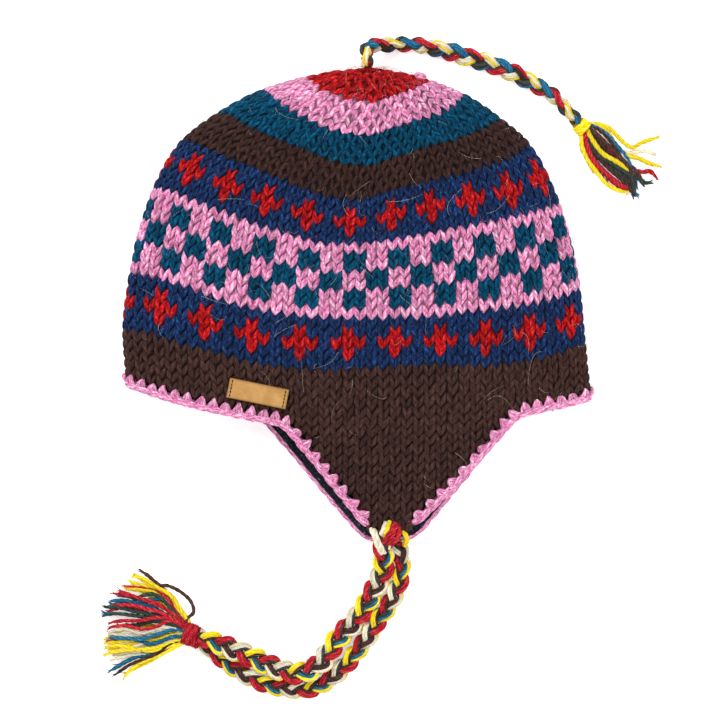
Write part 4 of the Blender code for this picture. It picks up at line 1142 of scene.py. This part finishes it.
def edging_piece():
    """The crochet: a chain on each face and on the rim, and pointed stitches into the cloth."""
    pitch = hat_settings().crochet_pitch
    edge = edge_line(1600)
    flank = np.clip(-edge_rows(edge[5]) / 2.0, 0, 1) * (1 - near_tip(edge[5]))
    spread = np.concatenate([[0.0], np.cumsum(1 / (1 + FLANK_SPREAD * flank))])
    stitches = round(edge[4] / pitch * spread[-1] / len(flank))
    rng = np.random.default_rng(31)
    bundles = []
    ends = np.interp(np.arange(stitches + 1) / stitches, spread / spread[-1], np.arange(len(spread)) / len(flank))
    starts, gaps = ends[:-1], np.diff(ends)
    middles = np.interp(starts * len(edge[0]), np.arange(len(edge[0])), edge[5])
    slims = np.where(gaps > 1.05 * gaps.min(), 0.84, 0.95)[:, None]
    kept = near_tip(middles) < 0.5
    talls = 1 + np.clip(rng.normal(0, 0.45, stitches), -0.9, 0.9)
    talls = talls * (1 - 0.8 * np.exp(-(((middles - 1.40) / 0.14) ** 2)))
    leans = np.clip(rng.normal(0, 0.12, stitches), -0.25, 0.25)
    for strands, is_spike in ((CHAIN_LEGS, False), (SPIKE_STRANDS, True)):
        for strand in strands:
            route = smooth_line(strand[1:], 1.0)
            if is_spike:
                route = evenly(route, 6)
            else:
                route = evenly(route, 7)
            count = len(route)
            tall = talls if is_spike else np.ones(stitches)
            slant = leans if is_spike else rng.normal(0, 0.03, stitches)
            share = route[:, 0][None] * (slims if is_spike else 1.0) + slant[:, None] * np.linspace(0, 1, count)[None]
            places = starts[:, None] + share * gaps[:, None]
            outs = np.broadcast_to(route[:, 1][None] * 0.001, places.shape)
            outs = np.where(outs < 0, outs * tall[:, None], outs) + rng.normal(0, 0.00012, (stitches, 1))
            depths = np.broadcast_to(route[:, 2][None] * 0.001, places.shape)
            centres, normal = edge_points(edge, places, outs, depths)
            forward = unit(np.gradient(centres, axis=1))
            across = unit(np.cross(normal, forward))
            up = np.cross(forward, across)
            radius = strand[0] * 0.001 * (1 + np.clip(rng.normal(0, 0.07, (stitches, 1)), -0.15, 0.15))
            swell = np.sin(np.linspace(0.18, 0.82 if is_spike else 0.9, count) * math.pi) ** 0.5
            size = radius * (0.35 + 0.65 * swell)[None]
            # The same pink yarn is brighter on the chain legs, a painted highlight on the rim, and darker on the
            # spikes, painted shade among the knitting
            bundles.append(
                {
                    "centres": centres[kept],
                    "across": across[kept],
                    "up": up[kept],
                    "widths": size[kept],
                    "heights": size[kept],
                    "sides": 6,
                    "shades": np.clip(rng.normal(0.55 if is_spike else 1.0, 0.22, kept.sum()), 0, 1),
                    "material": 0,
                }
            )
    # A closed core along the edge in the pink yarn dimmed to 0.45, with a low shade: painted shade in the gaps under
    # the chain
    around = np.arange(481) / 480
    tipped = near_tip(np.interp(np.mod(around, 1.0) * len(edge[0]), np.arange(len(edge[0])), edge[5]))
    centre, normal = edge_points(edge, around, 0.0045 - 0.0085 * tipped, 0.0025 + 0.0018 * tipped)
    forward = unit(np.roll(centre[:-1], -1, axis=0) - np.roll(centre[:-1], 1, axis=0))
    forward = np.concatenate([forward, forward[:1]])
    across = unit(np.cross(normal, forward))
    bundles.append(
        {
            "centres": centre[None],
            "across": across[None],
            "up": np.cross(forward, across)[None],
            "widths": np.full((1, 481), 0.0019),
            "heights": np.full((1, 481), 0.0017),
            "sides": 8,
            "shades": np.array([0.2]),
            "material": 1,
        }
    )
    piece = tubes_piece("crochet_stitches", bundles, [yarn_material("pink"), yarn_material("pink", 0.45)])
    return finish_piece(piece, "pink_wool", "crochet_edging")


def lining_piece():
    """The fleece band inside the rim and the flaps."""
    columns, rows = 480, 28
    turns = np.linspace(0.0, 4.0, columns + 1)
    edges = edge_rows(turns)
    shares = np.linspace(0.0, 1.0, rows)[:, None]
    row = edges * (1 - shares) + 10.0 * shares
    turns = np.broadcast_to(turns, row.shape)
    normals = surface_normals(turns, row)
    face = surface(turns, row)
    along = unit(np.roll(face[0][:-1], -1, axis=0) - np.roll(face[0][:-1], 1, axis=0))
    out = unit(np.cross(np.concatenate([along, along[:1]]), normals[0]))
    far = np.sin(math.pi * np.clip(turns[0] / 2 - 1, 0, 1))[:, None] ** 0.5
    lapped = [face[0] + (reach + share * far) * out for reach, share in ((0.0038, 0.0008), (0.0019, 0.0004))]
    places = np.concatenate([np.array(lapped), face])
    normals = np.concatenate([normals[:1], normals[:1], normals])
    places = places - (KNIT_WALL + 0.0004) * normals
    piece = grid_piece("lining_fleece", places)
    clean_piece(piece)
    apply_modifier(piece, "SOLIDIFY", thickness=0.0018, offset=-1.0)
    lumps = bpy.data.textures.new("fleece lumps", "CLOUDS")
    lumps.noise_scale = 0.0022
    lumps.noise_depth = 2
    apply_modifier(piece, "DISPLACE", texture=lumps, strength=0.0016, mid_level=0.45, texture_coords="LOCAL")
    smooth_piece(piece, 80)
    group = build_fleece_group()
    tones = [linear(tone) for tone in FLEECE_TONES]
    piece.data.materials.append(group_material("black fleece", group, tones, 0.8, 0.0005, 1.0, 0.25))
    return finish_piece(piece, "fleece", "fleece_lining")


# ---------------------------------------------------------------- the label

LABEL_LENGTH = 0.0360
LABEL_WIDTH = 0.0120
LABEL_THICKNESS = 0.0015
LABEL_LIFT = 0.0005
LABEL_PLACE = (-0.0596 - HAT_CENTRE[0], -0.1955 - HAT_CENTRE[1])
LABEL_TILT = math.radians(-11.5)


def label_place(along, up, lift):
    """A place on the label: along and up from its middle, and off the knitting below it."""
    x = LABEL_PLACE[0] + along * math.cos(LABEL_TILT) - up * math.sin(LABEL_TILT)
    y = LABEL_PLACE[1] + along * math.sin(LABEL_TILT) + up * math.cos(LABEL_TILT)
    turn, row = near_place(x, y)
    return surface(turn, row) + lift * surface_normals(turn, row)


def label_piece():
    """The small leather label, with worn edges and a dark thread at both ends."""
    deselect_all()
    bpy.ops.mesh.primitive_cube_add(size=1.0)
    piece = bpy.context.active_object
    piece.name = piece.data.name = "label_leather"
    piece.scale = (LABEL_LENGTH, LABEL_WIDTH, LABEL_THICKNESS)
    bpy.ops.object.transform_apply(location=False, rotation=False, scale=True)
    apply_modifier(piece, "BEVEL", width=0.00035, segments=3)
    bpy.ops.object.mode_set(mode="EDIT")
    bpy.ops.mesh.select_all(action="SELECT")
    for axis, half, cuts in ((0, LABEL_LENGTH / 2, 24), (1, LABEL_WIDTH / 2, 8)):
        for i in range(1, cuts):
            at = [0.0, 0.0, 0.0]
            at[axis] = -half + 2 * half * i / cuts
            normal = [0.0, 0.0, 0.0]
            normal[axis] = 1.0
            bpy.ops.mesh.select_all(action="SELECT")
            bpy.ops.mesh.bisect(plane_co=at, plane_no=normal)
    bpy.ops.object.mode_set(mode="OBJECT")
    border = piece.data.attributes.new("border", "FLOAT", "POINT")
    for vertex in piece.data.vertices:
        along, up, lift = vertex.co
        inside = min(LABEL_LENGTH / 2 - abs(along), LABEL_WIDTH / 2 - abs(up))
        border.data[vertex.index].value = max(0.0, 1 - inside / 0.0007) if lift > 0 else 1.0
        curl = 0.0003 * (2 * along / LABEL_LENGTH) ** 4
        vertex.co = Vector(label_place(along, up, lift + LABEL_THICKNESS / 2 + LABEL_LIFT + curl))
    smooth_piece(piece, 35)
    tones = [linear(tone) for tone in LEATHER_TONES]
    piece.data.materials.append(group_material("tan leather", build_leather_group(), tones, 0.35, 0.0002, 0.62, 0.0))
    finish_piece(piece, "leather", "label_patch")
    rng = np.random.default_rng(5)
    bundles = []
    for end in (-1, 1):
        for i in range(5):
            middle = (i - 2) * 0.0021
            ends = [(-0.00085, -0.0004), (-0.0006, 0.00022), (0.0, 0.00034), (0.0006, 0.00022), (0.00085, -0.0004)]
            line = [label_place(end * (LABEL_LENGTH / 2 - 0.0019), middle + up, LABEL_THICKNESS + LABEL_LIFT + lift) for up, lift in ends]
            bundles.append(yarn_bundle(np.array(line), 0.00032, 0, rng, sides=6, pitch=0.002))
    thread = tubes_piece("label_thread", bundles, [yarn_material("coffee", 0.45)])
    finish_piece(thread, "leather")
    return piece


# ---------------------------------------------------------------- braids, bindings, tassels


def braid_piece(name, exit_place, route, width, yarn_radius, roll, strands, seed, node_name):
    """A flat braid of three strands of six yarns, its line and length, and its fibres."""
    rng = np.random.default_rng(seed)
    line = smooth_line([exit_place + np.array(step) for step in route], 0.0011)
    forward = unit(np.gradient(line, axis=0))
    flat = unit(np.cross(np.array([0.0, 0.0, 1.0]), forward))
    raised = np.cross(forward, flat)
    steps = np.linalg.norm(np.diff(line, axis=0), axis=1)
    along = np.concatenate([[0.0], np.cumsum(steps)])
    length = along[-1]
    share = along / length
    lean = np.radians(np.interp(share, [place for place, _ in roll], [angle for _, angle in roll]))[:, None]
    side = np.cos(lean) * flat + np.sin(lean) * raised
    lift = np.cross(forward, side)
    grown = np.interp(share, [place for place, _ in width], [size for _, size in width])
    swing = grown / 2 - 2.20 * yarn_radius
    climb = 1.50 * yarn_radius
    ply = 0.74 * yarn_radius
    cycle = hat_settings().braid_cycle
    materials = sorted({yarn for strand in strands for yarn in strand})
    bundles, hairs = [], []
    for k, strand in enumerate(strands):
        phase = -2 * math.pi * along / cycle + 2 * math.pi * k / 3 + 0.4
        middle = line + (swing * np.sin(phase))[:, None] * side + (climb * np.sin(2 * phase))[:, None] * lift
        heading = unit(np.gradient(middle, axis=0))
        across = unit(np.cross(lift, heading))
        up = np.cross(heading, across)
        past = math.pi / 4 - phase
        spin = past - 0.38 * np.sin(2 * past) + 0.25 * np.sin(along * 75 + 2.0 * k)
        for number, yarn in enumerate(strand):
            a, b = STRAND_PLACES[number]
            near, high = a * np.cos(spin) + b * np.sin(spin), b * np.cos(spin) - a * np.sin(spin)
            wander = 0.14 * np.sin(along * (380 + 60 * number) + rng.uniform(0, 6.28))
            yarn_line = middle + ply * ((near + wander)[:, None] * across + high[:, None] * up)
            yarn_line[:, 2] = np.maximum(yarn_line[:, 2], ply + 0.0002)
            bundles.append(
                yarn_bundle(yarn_line, 1.22 * ply, materials.index(yarn), rng, 7, upright=(0.05, 0.02, 1.0), lobes=0.06)
            )
            hairs.append(cord_hairs(yarn_line, 1.22 * ply, materials.index(yarn), rng))
    wools = [yarn_material(yarn) for yarn in materials]
    piece = finish_piece(tubes_piece(name, bundles, wools), "braid_wool", node_name)
    fibres = finish_piece(tubes_piece(f"{name}_fibres", hairs, wools), "braid_wool")
    return piece, line, length, fibres


def cord_hairs(line, radius, material, rng):
    """Short fibres that stand off a yarn."""
    count = int(len(line) * 0.36)
    index = rng.integers(1, len(line) - 2, count)
    forward = unit(line[index + 1] - line[index])
    away = rng.normal(0, 1, (count, 3))
    normals = unit(away - (away * forward).sum(1, keepdims=True) * forward)
    normals[:, 2] = np.abs(normals[:, 2])
    ways = unit(forward * rng.choice([-1.0, 1.0], (count, 1)) + rng.normal(0, 0.8, (count, 3)))
    lengths = rng.uniform(0.0015, 0.0042, count)
    roots = line[index] + 0.9 * radius * normals
    return hair_bundle(roots, ways, normals, lengths, 0.00005, np.full(count, material), rng, 0.0005)


def binding_piece(name, line, length, width, height, radius, yarn, slot, node_name, loose=0.0):
    """The yarn wound round the end of a braid, turn beside turn over a core that is the same yarn dimmed as painted
    shade.
    """
    rng = np.random.default_rng(len(name))
    forward = line[-1] - line[-3]
    forward[2] = 0.0
    forward = unit(forward)
    across, up = np.array([-forward[1], forward[0], 0.0]), np.array([0.0, 0.0, 1.0])
    turns = max(2, round(length / (1.55 * radius)))
    angle = np.linspace(0, 2 * math.pi * turns, 26 * turns)
    share = angle / angle[-1]
    bulge = 1 + 0.10 * np.sin(math.pi * share) + loose * np.sin(angle * 0.5)
    slant = 0.0006 * np.sin(angle)
    centre = line[-1][None] + (0.0004 + share * length + slant)[:, None] * forward
    wound = (
        centre
        + (bulge * width / 2 * np.cos(angle))[:, None] * across
        + (bulge * height / 2 * np.sin(angle))[:, None] * up
    )
    wound[:, 2] = np.maximum(wound[:, 2], radius + 0.0001)
    bundles = [yarn_bundle(wound, radius, 0, rng, sides=8, upright=forward)]
    # The core is the same yarn dimmed to 0.45, with a low shade: painted shade between the turns
    core = line[-1][None] + np.linspace(-0.001, length + 0.001, 9)[:, None] * forward
    bundles.append(
        {
            "centres": core[None],
            "across": np.broadcast_to(across, core.shape)[None],
            "up": np.broadcast_to(up, core.shape)[None],
            "widths": np.full((1, 9), width / 2),
            "heights": np.full((1, 9), height / 2),
            "sides": 14,
            "shades": np.array([0.1]),
            "material": 1,
        }
    )
    piece = tubes_piece(name, bundles, [yarn_material(yarn), yarn_material(yarn, 0.45)])
    return finish_piece(piece, slot, node_name)


def tassel_piece(name, table, line, length, height, radius, seed, node_name):
    """Loose yarns that fan out of a binding and lie as the table says."""
    rng = np.random.default_rng(seed)
    materials = sorted({row[0] for row in table})
    forward = line[-1] - line[-3]
    forward[2] = 0.0
    forward = unit(forward)
    start = line[-1] + (length + 0.0004) * forward
    bundles = []
    for row in table:
        lie = row[1] * 0.001
        flat = [photo_place(*point) for point in row[2:]]
        count = len(flat)
        points = []
        for i, place in enumerate(flat):
            share = i / (count - 1)
            root = start[2] + (lie - start[2]) * 0.25
            z = root + (lie - root) * min(1.0, 1.7 * share)
            settle = max(0.0, (share - 0.55) / 0.45)
            z = z + (radius + 0.0003 + 0.25 * lie - z) * settle
            points.append((place[0], place[1], max(z, radius + 0.0002)))
        root_z = start[2] + (lie - start[2]) * 0.20
        hidden = np.array([*(start[:2] - 0.004 * forward[:2] + 0.25 * (flat[0] - start[:2])), root_z])
        route = smooth_line([hidden] + points, 0.0010)
        along = np.linspace(0, 1, len(route))
        across, _ = line_frames(route, (0.0, 0.0, 1.0))
        curl = 0.00035 * np.sin(along * rng.uniform(9, 16) + rng.uniform(0, 6.28)) * along
        route = route + curl[:, None] * across
        route[:, 2] = np.maximum(route[:, 2], radius + 0.0001)
        size = radius * rng.uniform(0.85, 1.08)
        bundles.append(yarn_bundle(route, size, materials.index(row[0]), rng, sides=8, pitch=0.0075, taper=0.004))
        for _ in range(5):
            bundles.append(frayed_end(route, size, materials.index(row[0]), rng))
    piece = tubes_piece(name, bundles, [yarn_material(yarn) for yarn in materials])
    return finish_piece(piece, "tassel_wool", node_name)


def frayed_end(route, radius, material, rng):
    """A few fibres that leave a yarn's cut end."""
    forward = unit(route[-1] - route[-4])
    across = unit(np.cross(np.array([0.0, 0.0, 1.0]), forward))
    aside = rng.uniform(-0.45, 0.45)
    t = np.linspace(0, 1, 6)
    reach = rng.uniform(0.0018, 0.0042)
    line = route[-3] + rng.uniform(-0.5, 0.5) * radius * across + np.outer(t * reach, forward)
    line = line + np.outer(aside * reach * t**2, across)
    line[:, 2] = np.maximum(line[:, 2] + rng.uniform(-0.4, 0.5) * radius, 0.0004)
    bundle = yarn_bundle(line, radius * rng.uniform(0.28, 0.45), material, rng, sides=4, taper=0.003)
    return bundle


def tie_loops_piece(flap_lift):
    """The first loops of the near tie, which come up through the tip of its flap."""
    rng = np.random.default_rng(91)
    materials = sorted({row[0] for row in TIE_LOOPS})
    radius = 1.22 * hat_settings().yarn_radius
    bundles = []
    for row in TIE_LOOPS:
        points = []
        count = len(row) - 2
        for i, point in enumerate(row[2:]):
            x, y = photo_place(*point)
            turn, level = near_place(x, y)
            base = float(surface(turn, level)[2]) if y > NEAR_EXIT[1] - 0.004 else flap_lift
            hump = math.sin(math.pi * (0.03 + 0.87 * i / (count - 1)))
            points.append((x, y, base + radius * (hump * 1.9 - 0.9) + row[1] * 0.001 * hump))
        route = smooth_line(points, 0.0010)
        bundles.append(yarn_bundle(route, radius, materials.index(row[0]), rng, sides=8))
    piece = tubes_piece("tie_loops", bundles, [yarn_material(yarn) for yarn in materials])
    return finish_piece(piece, "braid_wool")


def crown_loop_piece():
    """The small loop of pink yarn where a stripe was joined, on the right of the crown."""
    rng = np.random.default_rng(17)
    middle = np.array([*photo_place(420.5, 77.0), 0.0])
    angle = np.linspace(0.3, 2 * math.pi + 0.9, 34)
    tilt = np.array([0.94, -0.34])
    side = np.array([0.34, 0.94])
    line = np.stack(
        [
            middle[0] + 0.0027 * np.cos(angle) * tilt[0] + 0.0013 * np.sin(angle) * side[0],
            middle[1] + 0.0027 * np.cos(angle) * tilt[1] + 0.0013 * np.sin(angle) * side[1],
            0.0300 + 0.0012 * np.sin(angle * 0.5),
        ],
        axis=1,
    )
    bundles = [yarn_bundle(line, 0.00115, 0, rng, upright=(0.0, 0.0, 1.0))]
    tail = np.array([line[0], line[0] + (-0.002, -0.002, -0.001), line[0] + (-0.004, -0.004, -0.004)])
    bundles.append(yarn_bundle(smooth_line(tail, 0.001), 0.0011, 0, rng))
    piece = tubes_piece("crown_yarn_loop", bundles, [yarn_material("pink")])
    return finish_piece(piece, "knitted_wool")


# ---------------------------------------------------------------- stray fibres


def hair_bundle(roots, ways, normals, lengths, radius, material, rng, lift=0.0008, rings=5):
    """Stray fibres that leave the knitting and curl over it."""
    count = len(roots)
    t = np.linspace(0, 1, rings)[None, :, None]
    side = np.cross(normals, ways)
    bend = rng.normal(0, 0.55, (count, 1, 1))
    second = rng.normal(0, 0.35, (count, 1, 1))
    rise = rng.uniform(0.1, 1.0, (count, 1, 1)) * lift * 2
    reach = lengths[:, None, None]
    centres = (
        roots[:, None]
        + ways[:, None] * reach * t
        + side[:, None] * reach * (bend * t**2 + second * np.sin(3.1 * t) * 0.4)
        + normals[:, None] * (lift * 0.3 + rise * np.sin(math.pi * np.minimum(t * 1.1, 1.0)))
    )
    forward = unit(np.gradient(centres, axis=1))
    across = unit(np.cross(np.broadcast_to(normals[:, None], forward.shape), forward))
    size = np.full((count, rings), radius) * np.linspace(1.0, 0.5, rings)[None]
    return {
        "centres": centres,
        "across": across,
        "up": np.cross(forward, across),
        "widths": size,
        "heights": size,
        "sides": 3,
        "shades": rng.uniform(0.3, 1.0, count),
        "material": material,
    }


def fuzz_piece():
    """Stray fibres all over the knitting."""
    rng = np.random.default_rng(77)
    count = hat_settings().stray_fibres
    turns = rng.uniform(0, 4, count)
    rows = rng.uniform(-9.0, 36.5, count)
    kept = rows > edge_rows(turns) + 0.4
    turns, rows = turns[kept], rows[kept]
    roots, normals = surface(turns, rows), surface_normals(turns, rows)
    kept = roots[:, 2] > 0.004
    turns, rows, roots, normals = turns[kept], rows[kept], roots[kept], normals[kept]
    any_way = rng.normal(0, 1, roots.shape)
    ways = unit(any_way - (any_way * normals).sum(1, keepdims=True) * normals)
    lengths = rng.uniform(0.0025, 0.0075, len(roots)) * np.where(rng.random(len(roots)) < 0.12, 1.9, 1.0)
    yarns = []
    for turn, row in zip(turns, rows):
        yarn = stitch_yarn(int(round(turn * QUARTER_STITCHES)), math.floor(row))
        for low, high, _, stripe in CROWN_STRIPES:
            if low <= row < high:
                yarn = stripe
        yarns.append(KNIT_YARNS.index(yarn))
    pale = rng.random(len(roots)) < 0.03
    slots = np.where(pale, len(KNIT_YARNS), np.array(yarns))
    bundles = [hair_bundle(roots, ways, normals, lengths, 0.00005, slots, rng)]
    some = rng.choice(np.flatnonzero(rows < 34), 90, replace=False)
    lengths = rng.uniform(0.007, 0.019, 90)
    slots = np.where(rng.random(90) < 0.5, len(KNIT_YARNS), 0)
    bundles.append(hair_bundle(roots[some], ways[some], normals[some], lengths, 0.00006, slots, rng, 0.0009, 14))
    materials = [yarn_material(yarn) for yarn in KNIT_YARNS] + [yarn_material("cream")]
    return finish_piece(tubes_piece("stray_fibres", bundles, materials), "knitted_wool")


# ---------------------------------------------------------------- settings and operators


def colour_setting(name, words):
    """A colour setting whose default is a yarn's main tone."""
    return bpy.props.FloatVectorProperty(
        name=f"{words} Yarn",
        description=f"Main colour of the {words.lower()} yarn",
        subtype="COLOR",
        size=3,
        min=0.0,
        max=1.0,
        default=linear(TONES[name][1])[:3],
    )


class ChulloHatSettings(bpy.types.PropertyGroup):
    """Sizes and colours of the dressed hat."""

    leg_width: bpy.props.FloatProperty(
        name="Stitch Leg", description="Half the width of one leg of a stitch", default=0.00166, unit="LENGTH"
    )
    leg_rise: bpy.props.FloatProperty(
        name="Stitch Rise", description="Half the thickness of one leg of a stitch", default=0.00150, unit="LENGTH"
    )
    stitch_slant: bpy.props.FloatProperty(
        name="Stitch Slant", description="How far a stitch leans to one side, in stitch widths", default=0.10
    )
    crochet_pitch: bpy.props.FloatProperty(
        name="Crochet Pitch", description="Length of one stitch of the edging", default=0.0077, unit="LENGTH"
    )
    yarn_radius: bpy.props.FloatProperty(
        name="Yarn Radius", description="Radius of the braids' and tassels' yarns", default=0.00118, unit="LENGTH"
    )
    braid_cycle: bpy.props.FloatProperty(
        name="Braid Cycle", description="Length in which a strand crosses and comes back", default=0.029, unit="LENGTH"
    )
    stray_fibres: bpy.props.IntProperty(name="Stray Fibres", description="Number of stray fibres", default=5600, min=0)
    floor_tone: bpy.props.FloatProperty(
        name="Floor", description="Brightness of the floor", default=0.92, min=0.0, max=1.0, subtype="FACTOR"
    )
    floor_glow: bpy.props.FloatProperty(
        name="Floor Glow", description="How much the floor glows, like a light table", default=0.40, min=0.0
    )
    brown_yarn: colour_setting("brown", "Brown")
    blue_yarn: colour_setting("blue", "Blue")
    red_yarn: colour_setting("red", "Red")
    pink_yarn: colour_setting("pink", "Pink")
    teal_yarn: colour_setting("teal", "Teal")
    coffee_yarn: colour_setting("coffee", "Coffee")
    slate_yarn: colour_setting("slate", "Slate")
    azure_yarn: colour_setting("azure", "Azure")
    cherry_yarn: colour_setting("cherry", "Cherry")
    yellow_yarn: colour_setting("yellow", "Yellow")
    cream_yarn: colour_setting("cream", "Cream")


CAMERA_HEIGHT = 3.0
VIEW_LEVEL = 0.025
IMAGE_PIXELS = 720


class CHULLO_OT_stage(bpy.types.Operator):
    """Adds the floor, the lights and the camera above the hat"""

    bl_idname = "chullo.add_stage"
    bl_label = "Add Stage"

    def execute(self, context):
        scene = context.scene
        x, y = photo_place(IMAGE_PIXELS / 2, IMAGE_PIXELS / 2)
        deselect_all()
        bpy.ops.object.camera_add(location=(x, y, CAMERA_HEIGHT), rotation=(0.0, 0.0, 0.0))
        camera = context.active_object
        camera.name = "camera"
        camera.data.sensor_width = 36.0
        width = IMAGE_PIXELS * PIXEL
        camera.data.lens = 36.0 * (CAMERA_HEIGHT - VIEW_LEVEL) / width
        camera.data.clip_end = 20.0
        scene.camera = camera
        deselect_all()
        bpy.ops.mesh.primitive_plane_add(size=6.0, location=(0.0, 0.0, 0.0))
        floor = context.active_object
        floor.name = "floor"
        material = bpy.data.materials.new("pale floor")
        material.use_nodes = True
        shader = material.node_tree.nodes["Principled BSDF"]
        tone = hat_settings().floor_tone
        shader.inputs["Base Color"].default_value = (tone, tone, tone, 1.0)
        shader.inputs["Roughness"].default_value = 1.0
        shader.inputs["Specular IOR Level"].default_value = 0.0
        shader.inputs["Emission Color"].default_value = (1.0, 1.0, 1.0, 1.0)
        shader.inputs["Emission Strength"].default_value = hat_settings().floor_glow
        floor.data.materials.append(material)
        for name, place, size, power in (
            ("key light", (-0.75, 0.85, 1.35), 1.1, 23.8),
            ("fill light", (0.95, -0.55, 1.25), 1.4, 12.5),
        ):
            deselect_all()
            bpy.ops.object.light_add(type="AREA", location=place)
            light = context.active_object
            light.name = name
            light.data.size = size
            light.data.energy = power
            light.rotation_euler = (-Vector(place)).to_track_quat("-Z", "Y").to_euler()
        world = scene.world or bpy.data.worlds.new("studio")
        scene.world = world
        world.use_nodes = True
        world.node_tree.nodes["Background"].inputs["Color"].default_value = (1.0, 1.0, 1.0, 1.0)
        world.node_tree.nodes["Background"].inputs["Strength"].default_value = 0.70
        scene.view_settings.view_transform = "Standard"
        scene.view_settings.look = "None"
        return {"FINISHED"}


TIE_ROLL = ((0.0, 8.0), (0.3, -6.0), (0.6, 6.0), (1.0, 0.0))
FAR_ROLL = ((0.0, 0.0), (0.5, 8.0), (1.0, -6.0))
CROWN_ROLL = ((0.0, 75.0), (0.12, 60.0), (0.30, 62.0), (0.45, 25.0), (0.70, 15.0), (0.85, 60.0), (1.0, 80.0))


class CHULLO_OT_cords(bpy.types.Operator):
    """Adds the braided cord of the crown and the ties of both flaps, with their tassels"""

    bl_idname = "chullo.add_cords"
    bl_label = "Add Cords"

    def execute(self, context):
        radius = hat_settings().yarn_radius
        crown_width = ((0.0, 0.0092), (0.2, 0.0112), (0.45, 0.0126), (0.8, 0.0114), (1.0, 0.0092))
        near_width = ((0.0, 0.0125), (0.15, 0.0140), (0.9, 0.0142), (1.0, 0.0105))
        far_width = ((0.0, 0.0105), (0.15, 0.0120), (0.9, 0.0120), (1.0, 0.0096))
        braid, line, length, fibres = braid_piece(
            "crown_cord", CROWN_EXIT, CROWN_ROUTE, crown_width, 0.96 * radius, CROWN_ROLL, CROWN_STRANDS, 11, "crown_braid"
        )
        wrap = binding_piece("crown_binding", line, 0.0056, 0.0082, 0.0066, 0.00095, "yellow", "yellow_wool", "crown_wrap")
        tassel = tassel_piece("crown_fringe", CROWN_TASSEL, line, 0.0056, 0.006, 1.22 * radius, 12, "crown_tassel")
        braid, line, length, fibres = braid_piece(
            "far_cord", FAR_EXIT, FAR_ROUTE, far_width, 0.92 * radius, FAR_ROLL, TIE_STRANDS, 21, "far_tie_braid"
        )
        wrap = binding_piece("far_binding", line, 0.0075, 0.0100, 0.0060, 0.00100, "cherry", "red_wool", "far_tie_wrap")
        tassel = tassel_piece("far_fringe", FAR_TASSEL, line, 0.0075, 0.006, radius, 22, "far_tie_tassel")
        braid, line, length, fibres = braid_piece(
            "near_cord", NEAR_EXIT, NEAR_ROUTE, near_width, radius, TIE_ROLL, TIE_STRANDS, 31, "near_tie_braid"
        )
        wrap = binding_piece("near_binding", line, 0.0078, 0.0112, 0.0070, 0.00100, "cherry", "red_wool", "near_tie_wrap")
        tassel = tassel_piece("near_fringe", NEAR_TASSEL, line, 0.0078, 0.006, radius, 32, "near_tie_tassel")
        loops = tie_loops_piece(float(line[0][2]))
        return {"FINISHED"}


class CHULLO_OT_knitting(bpy.types.Operator):
    """Adds the knitted stitches and the backing behind them"""

    bl_idname = "chullo.add_knitting"
    bl_label = "Add Knitting"

    def execute(self, context):
        backing_piece()
        rows = stitch_rows()
        for name, low, high, seed, shade in (
            ("knit_brim_and_flaps", -20.0, 5.0, 41, 0.60),
            ("knit_lower_band", 5.0, 10.0, 42, 0.50),
            ("knit_checks", 10.0, 18.0, 43, 0.50),
            ("knit_upper_band", 18.0, 23.0, 44, 0.50),
            ("knit_crown", 23.0, 40.0, 45, 0.42),
        ):
            stitches_piece(name, [row for row in rows if low <= row[0] < high], seed, shade)
        crown_loop_piece()
        return {"FINISHED"}


class CHULLO_OT_edging(bpy.types.Operator):
    """Adds the crocheted edging round the rim and both flaps"""

    bl_idname = "chullo.add_edging"
    bl_label = "Add Edging"

    def execute(self, context):
        edging_piece()
        return {"FINISHED"}


class CHULLO_OT_lining(bpy.types.Operator):
    """Adds the fleece band inside the rim and the flaps"""

    bl_idname = "chullo.add_lining"
    bl_label = "Add Lining"

    def execute(self, context):
        lining_piece()
        return {"FINISHED"}


class CHULLO_OT_label(bpy.types.Operator):
    """Adds the leather label and its thread"""

    bl_idname = "chullo.add_label"
    bl_label = "Add Label"

    def execute(self, context):
        label_piece()
        return {"FINISHED"}


class CHULLO_OT_fuzz(bpy.types.Operator):
    """Adds the stray fibres of the wool"""

    bl_idname = "chullo.add_fuzz"
    bl_label = "Add Stray Fibres"

    def execute(self, context):
        fuzz_piece()
        return {"FINISHED"}


OPERATORS = (
    CHULLO_OT_stage,
    CHULLO_OT_cords,
    CHULLO_OT_knitting,
    CHULLO_OT_edging,
    CHULLO_OT_lining,
    CHULLO_OT_label,
    CHULLO_OT_fuzz,
)


class CHULLO_PT_panel(bpy.types.Panel):
    """The hat's settings and the buttons that add its pieces"""

    bl_idname = "CHULLO_PT_panel"
    bl_label = "Chullo Hat"
    bl_space_type = "VIEW_3D"
    bl_region_type = "UI"
    bl_category = "Chullo"

    def draw(self, context):
        column = self.layout.column()
        for name in ChulloHatSettings.__annotations__:
            column.prop(context.scene.chullo_hat, name)
        for operator in OPERATORS:
            column.operator(operator.bl_idname)


def register():
    bpy.utils.register_class(ChulloHatSettings)
    bpy.types.Scene.chullo_hat = bpy.props.PointerProperty(type=ChulloHatSettings)
    for operator in OPERATORS:
        bpy.utils.register_class(operator)
    bpy.utils.register_class(CHULLO_PT_panel)


def unregister():
    bpy.utils.unregister_class(CHULLO_PT_panel)
    for operator in reversed(OPERATORS):
        bpy.utils.unregister_class(operator)
    del bpy.types.Scene.chullo_hat
    bpy.utils.unregister_class(ChulloHatSettings)


def main():
    """Adds the stage and then every piece of the hat."""
    register()
    for operator in OPERATORS:
        group, name = operator.bl_idname.split(".")
        getattr(getattr(bpy.ops, group), name)()
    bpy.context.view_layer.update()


if __name__ == "__main__":
    main()
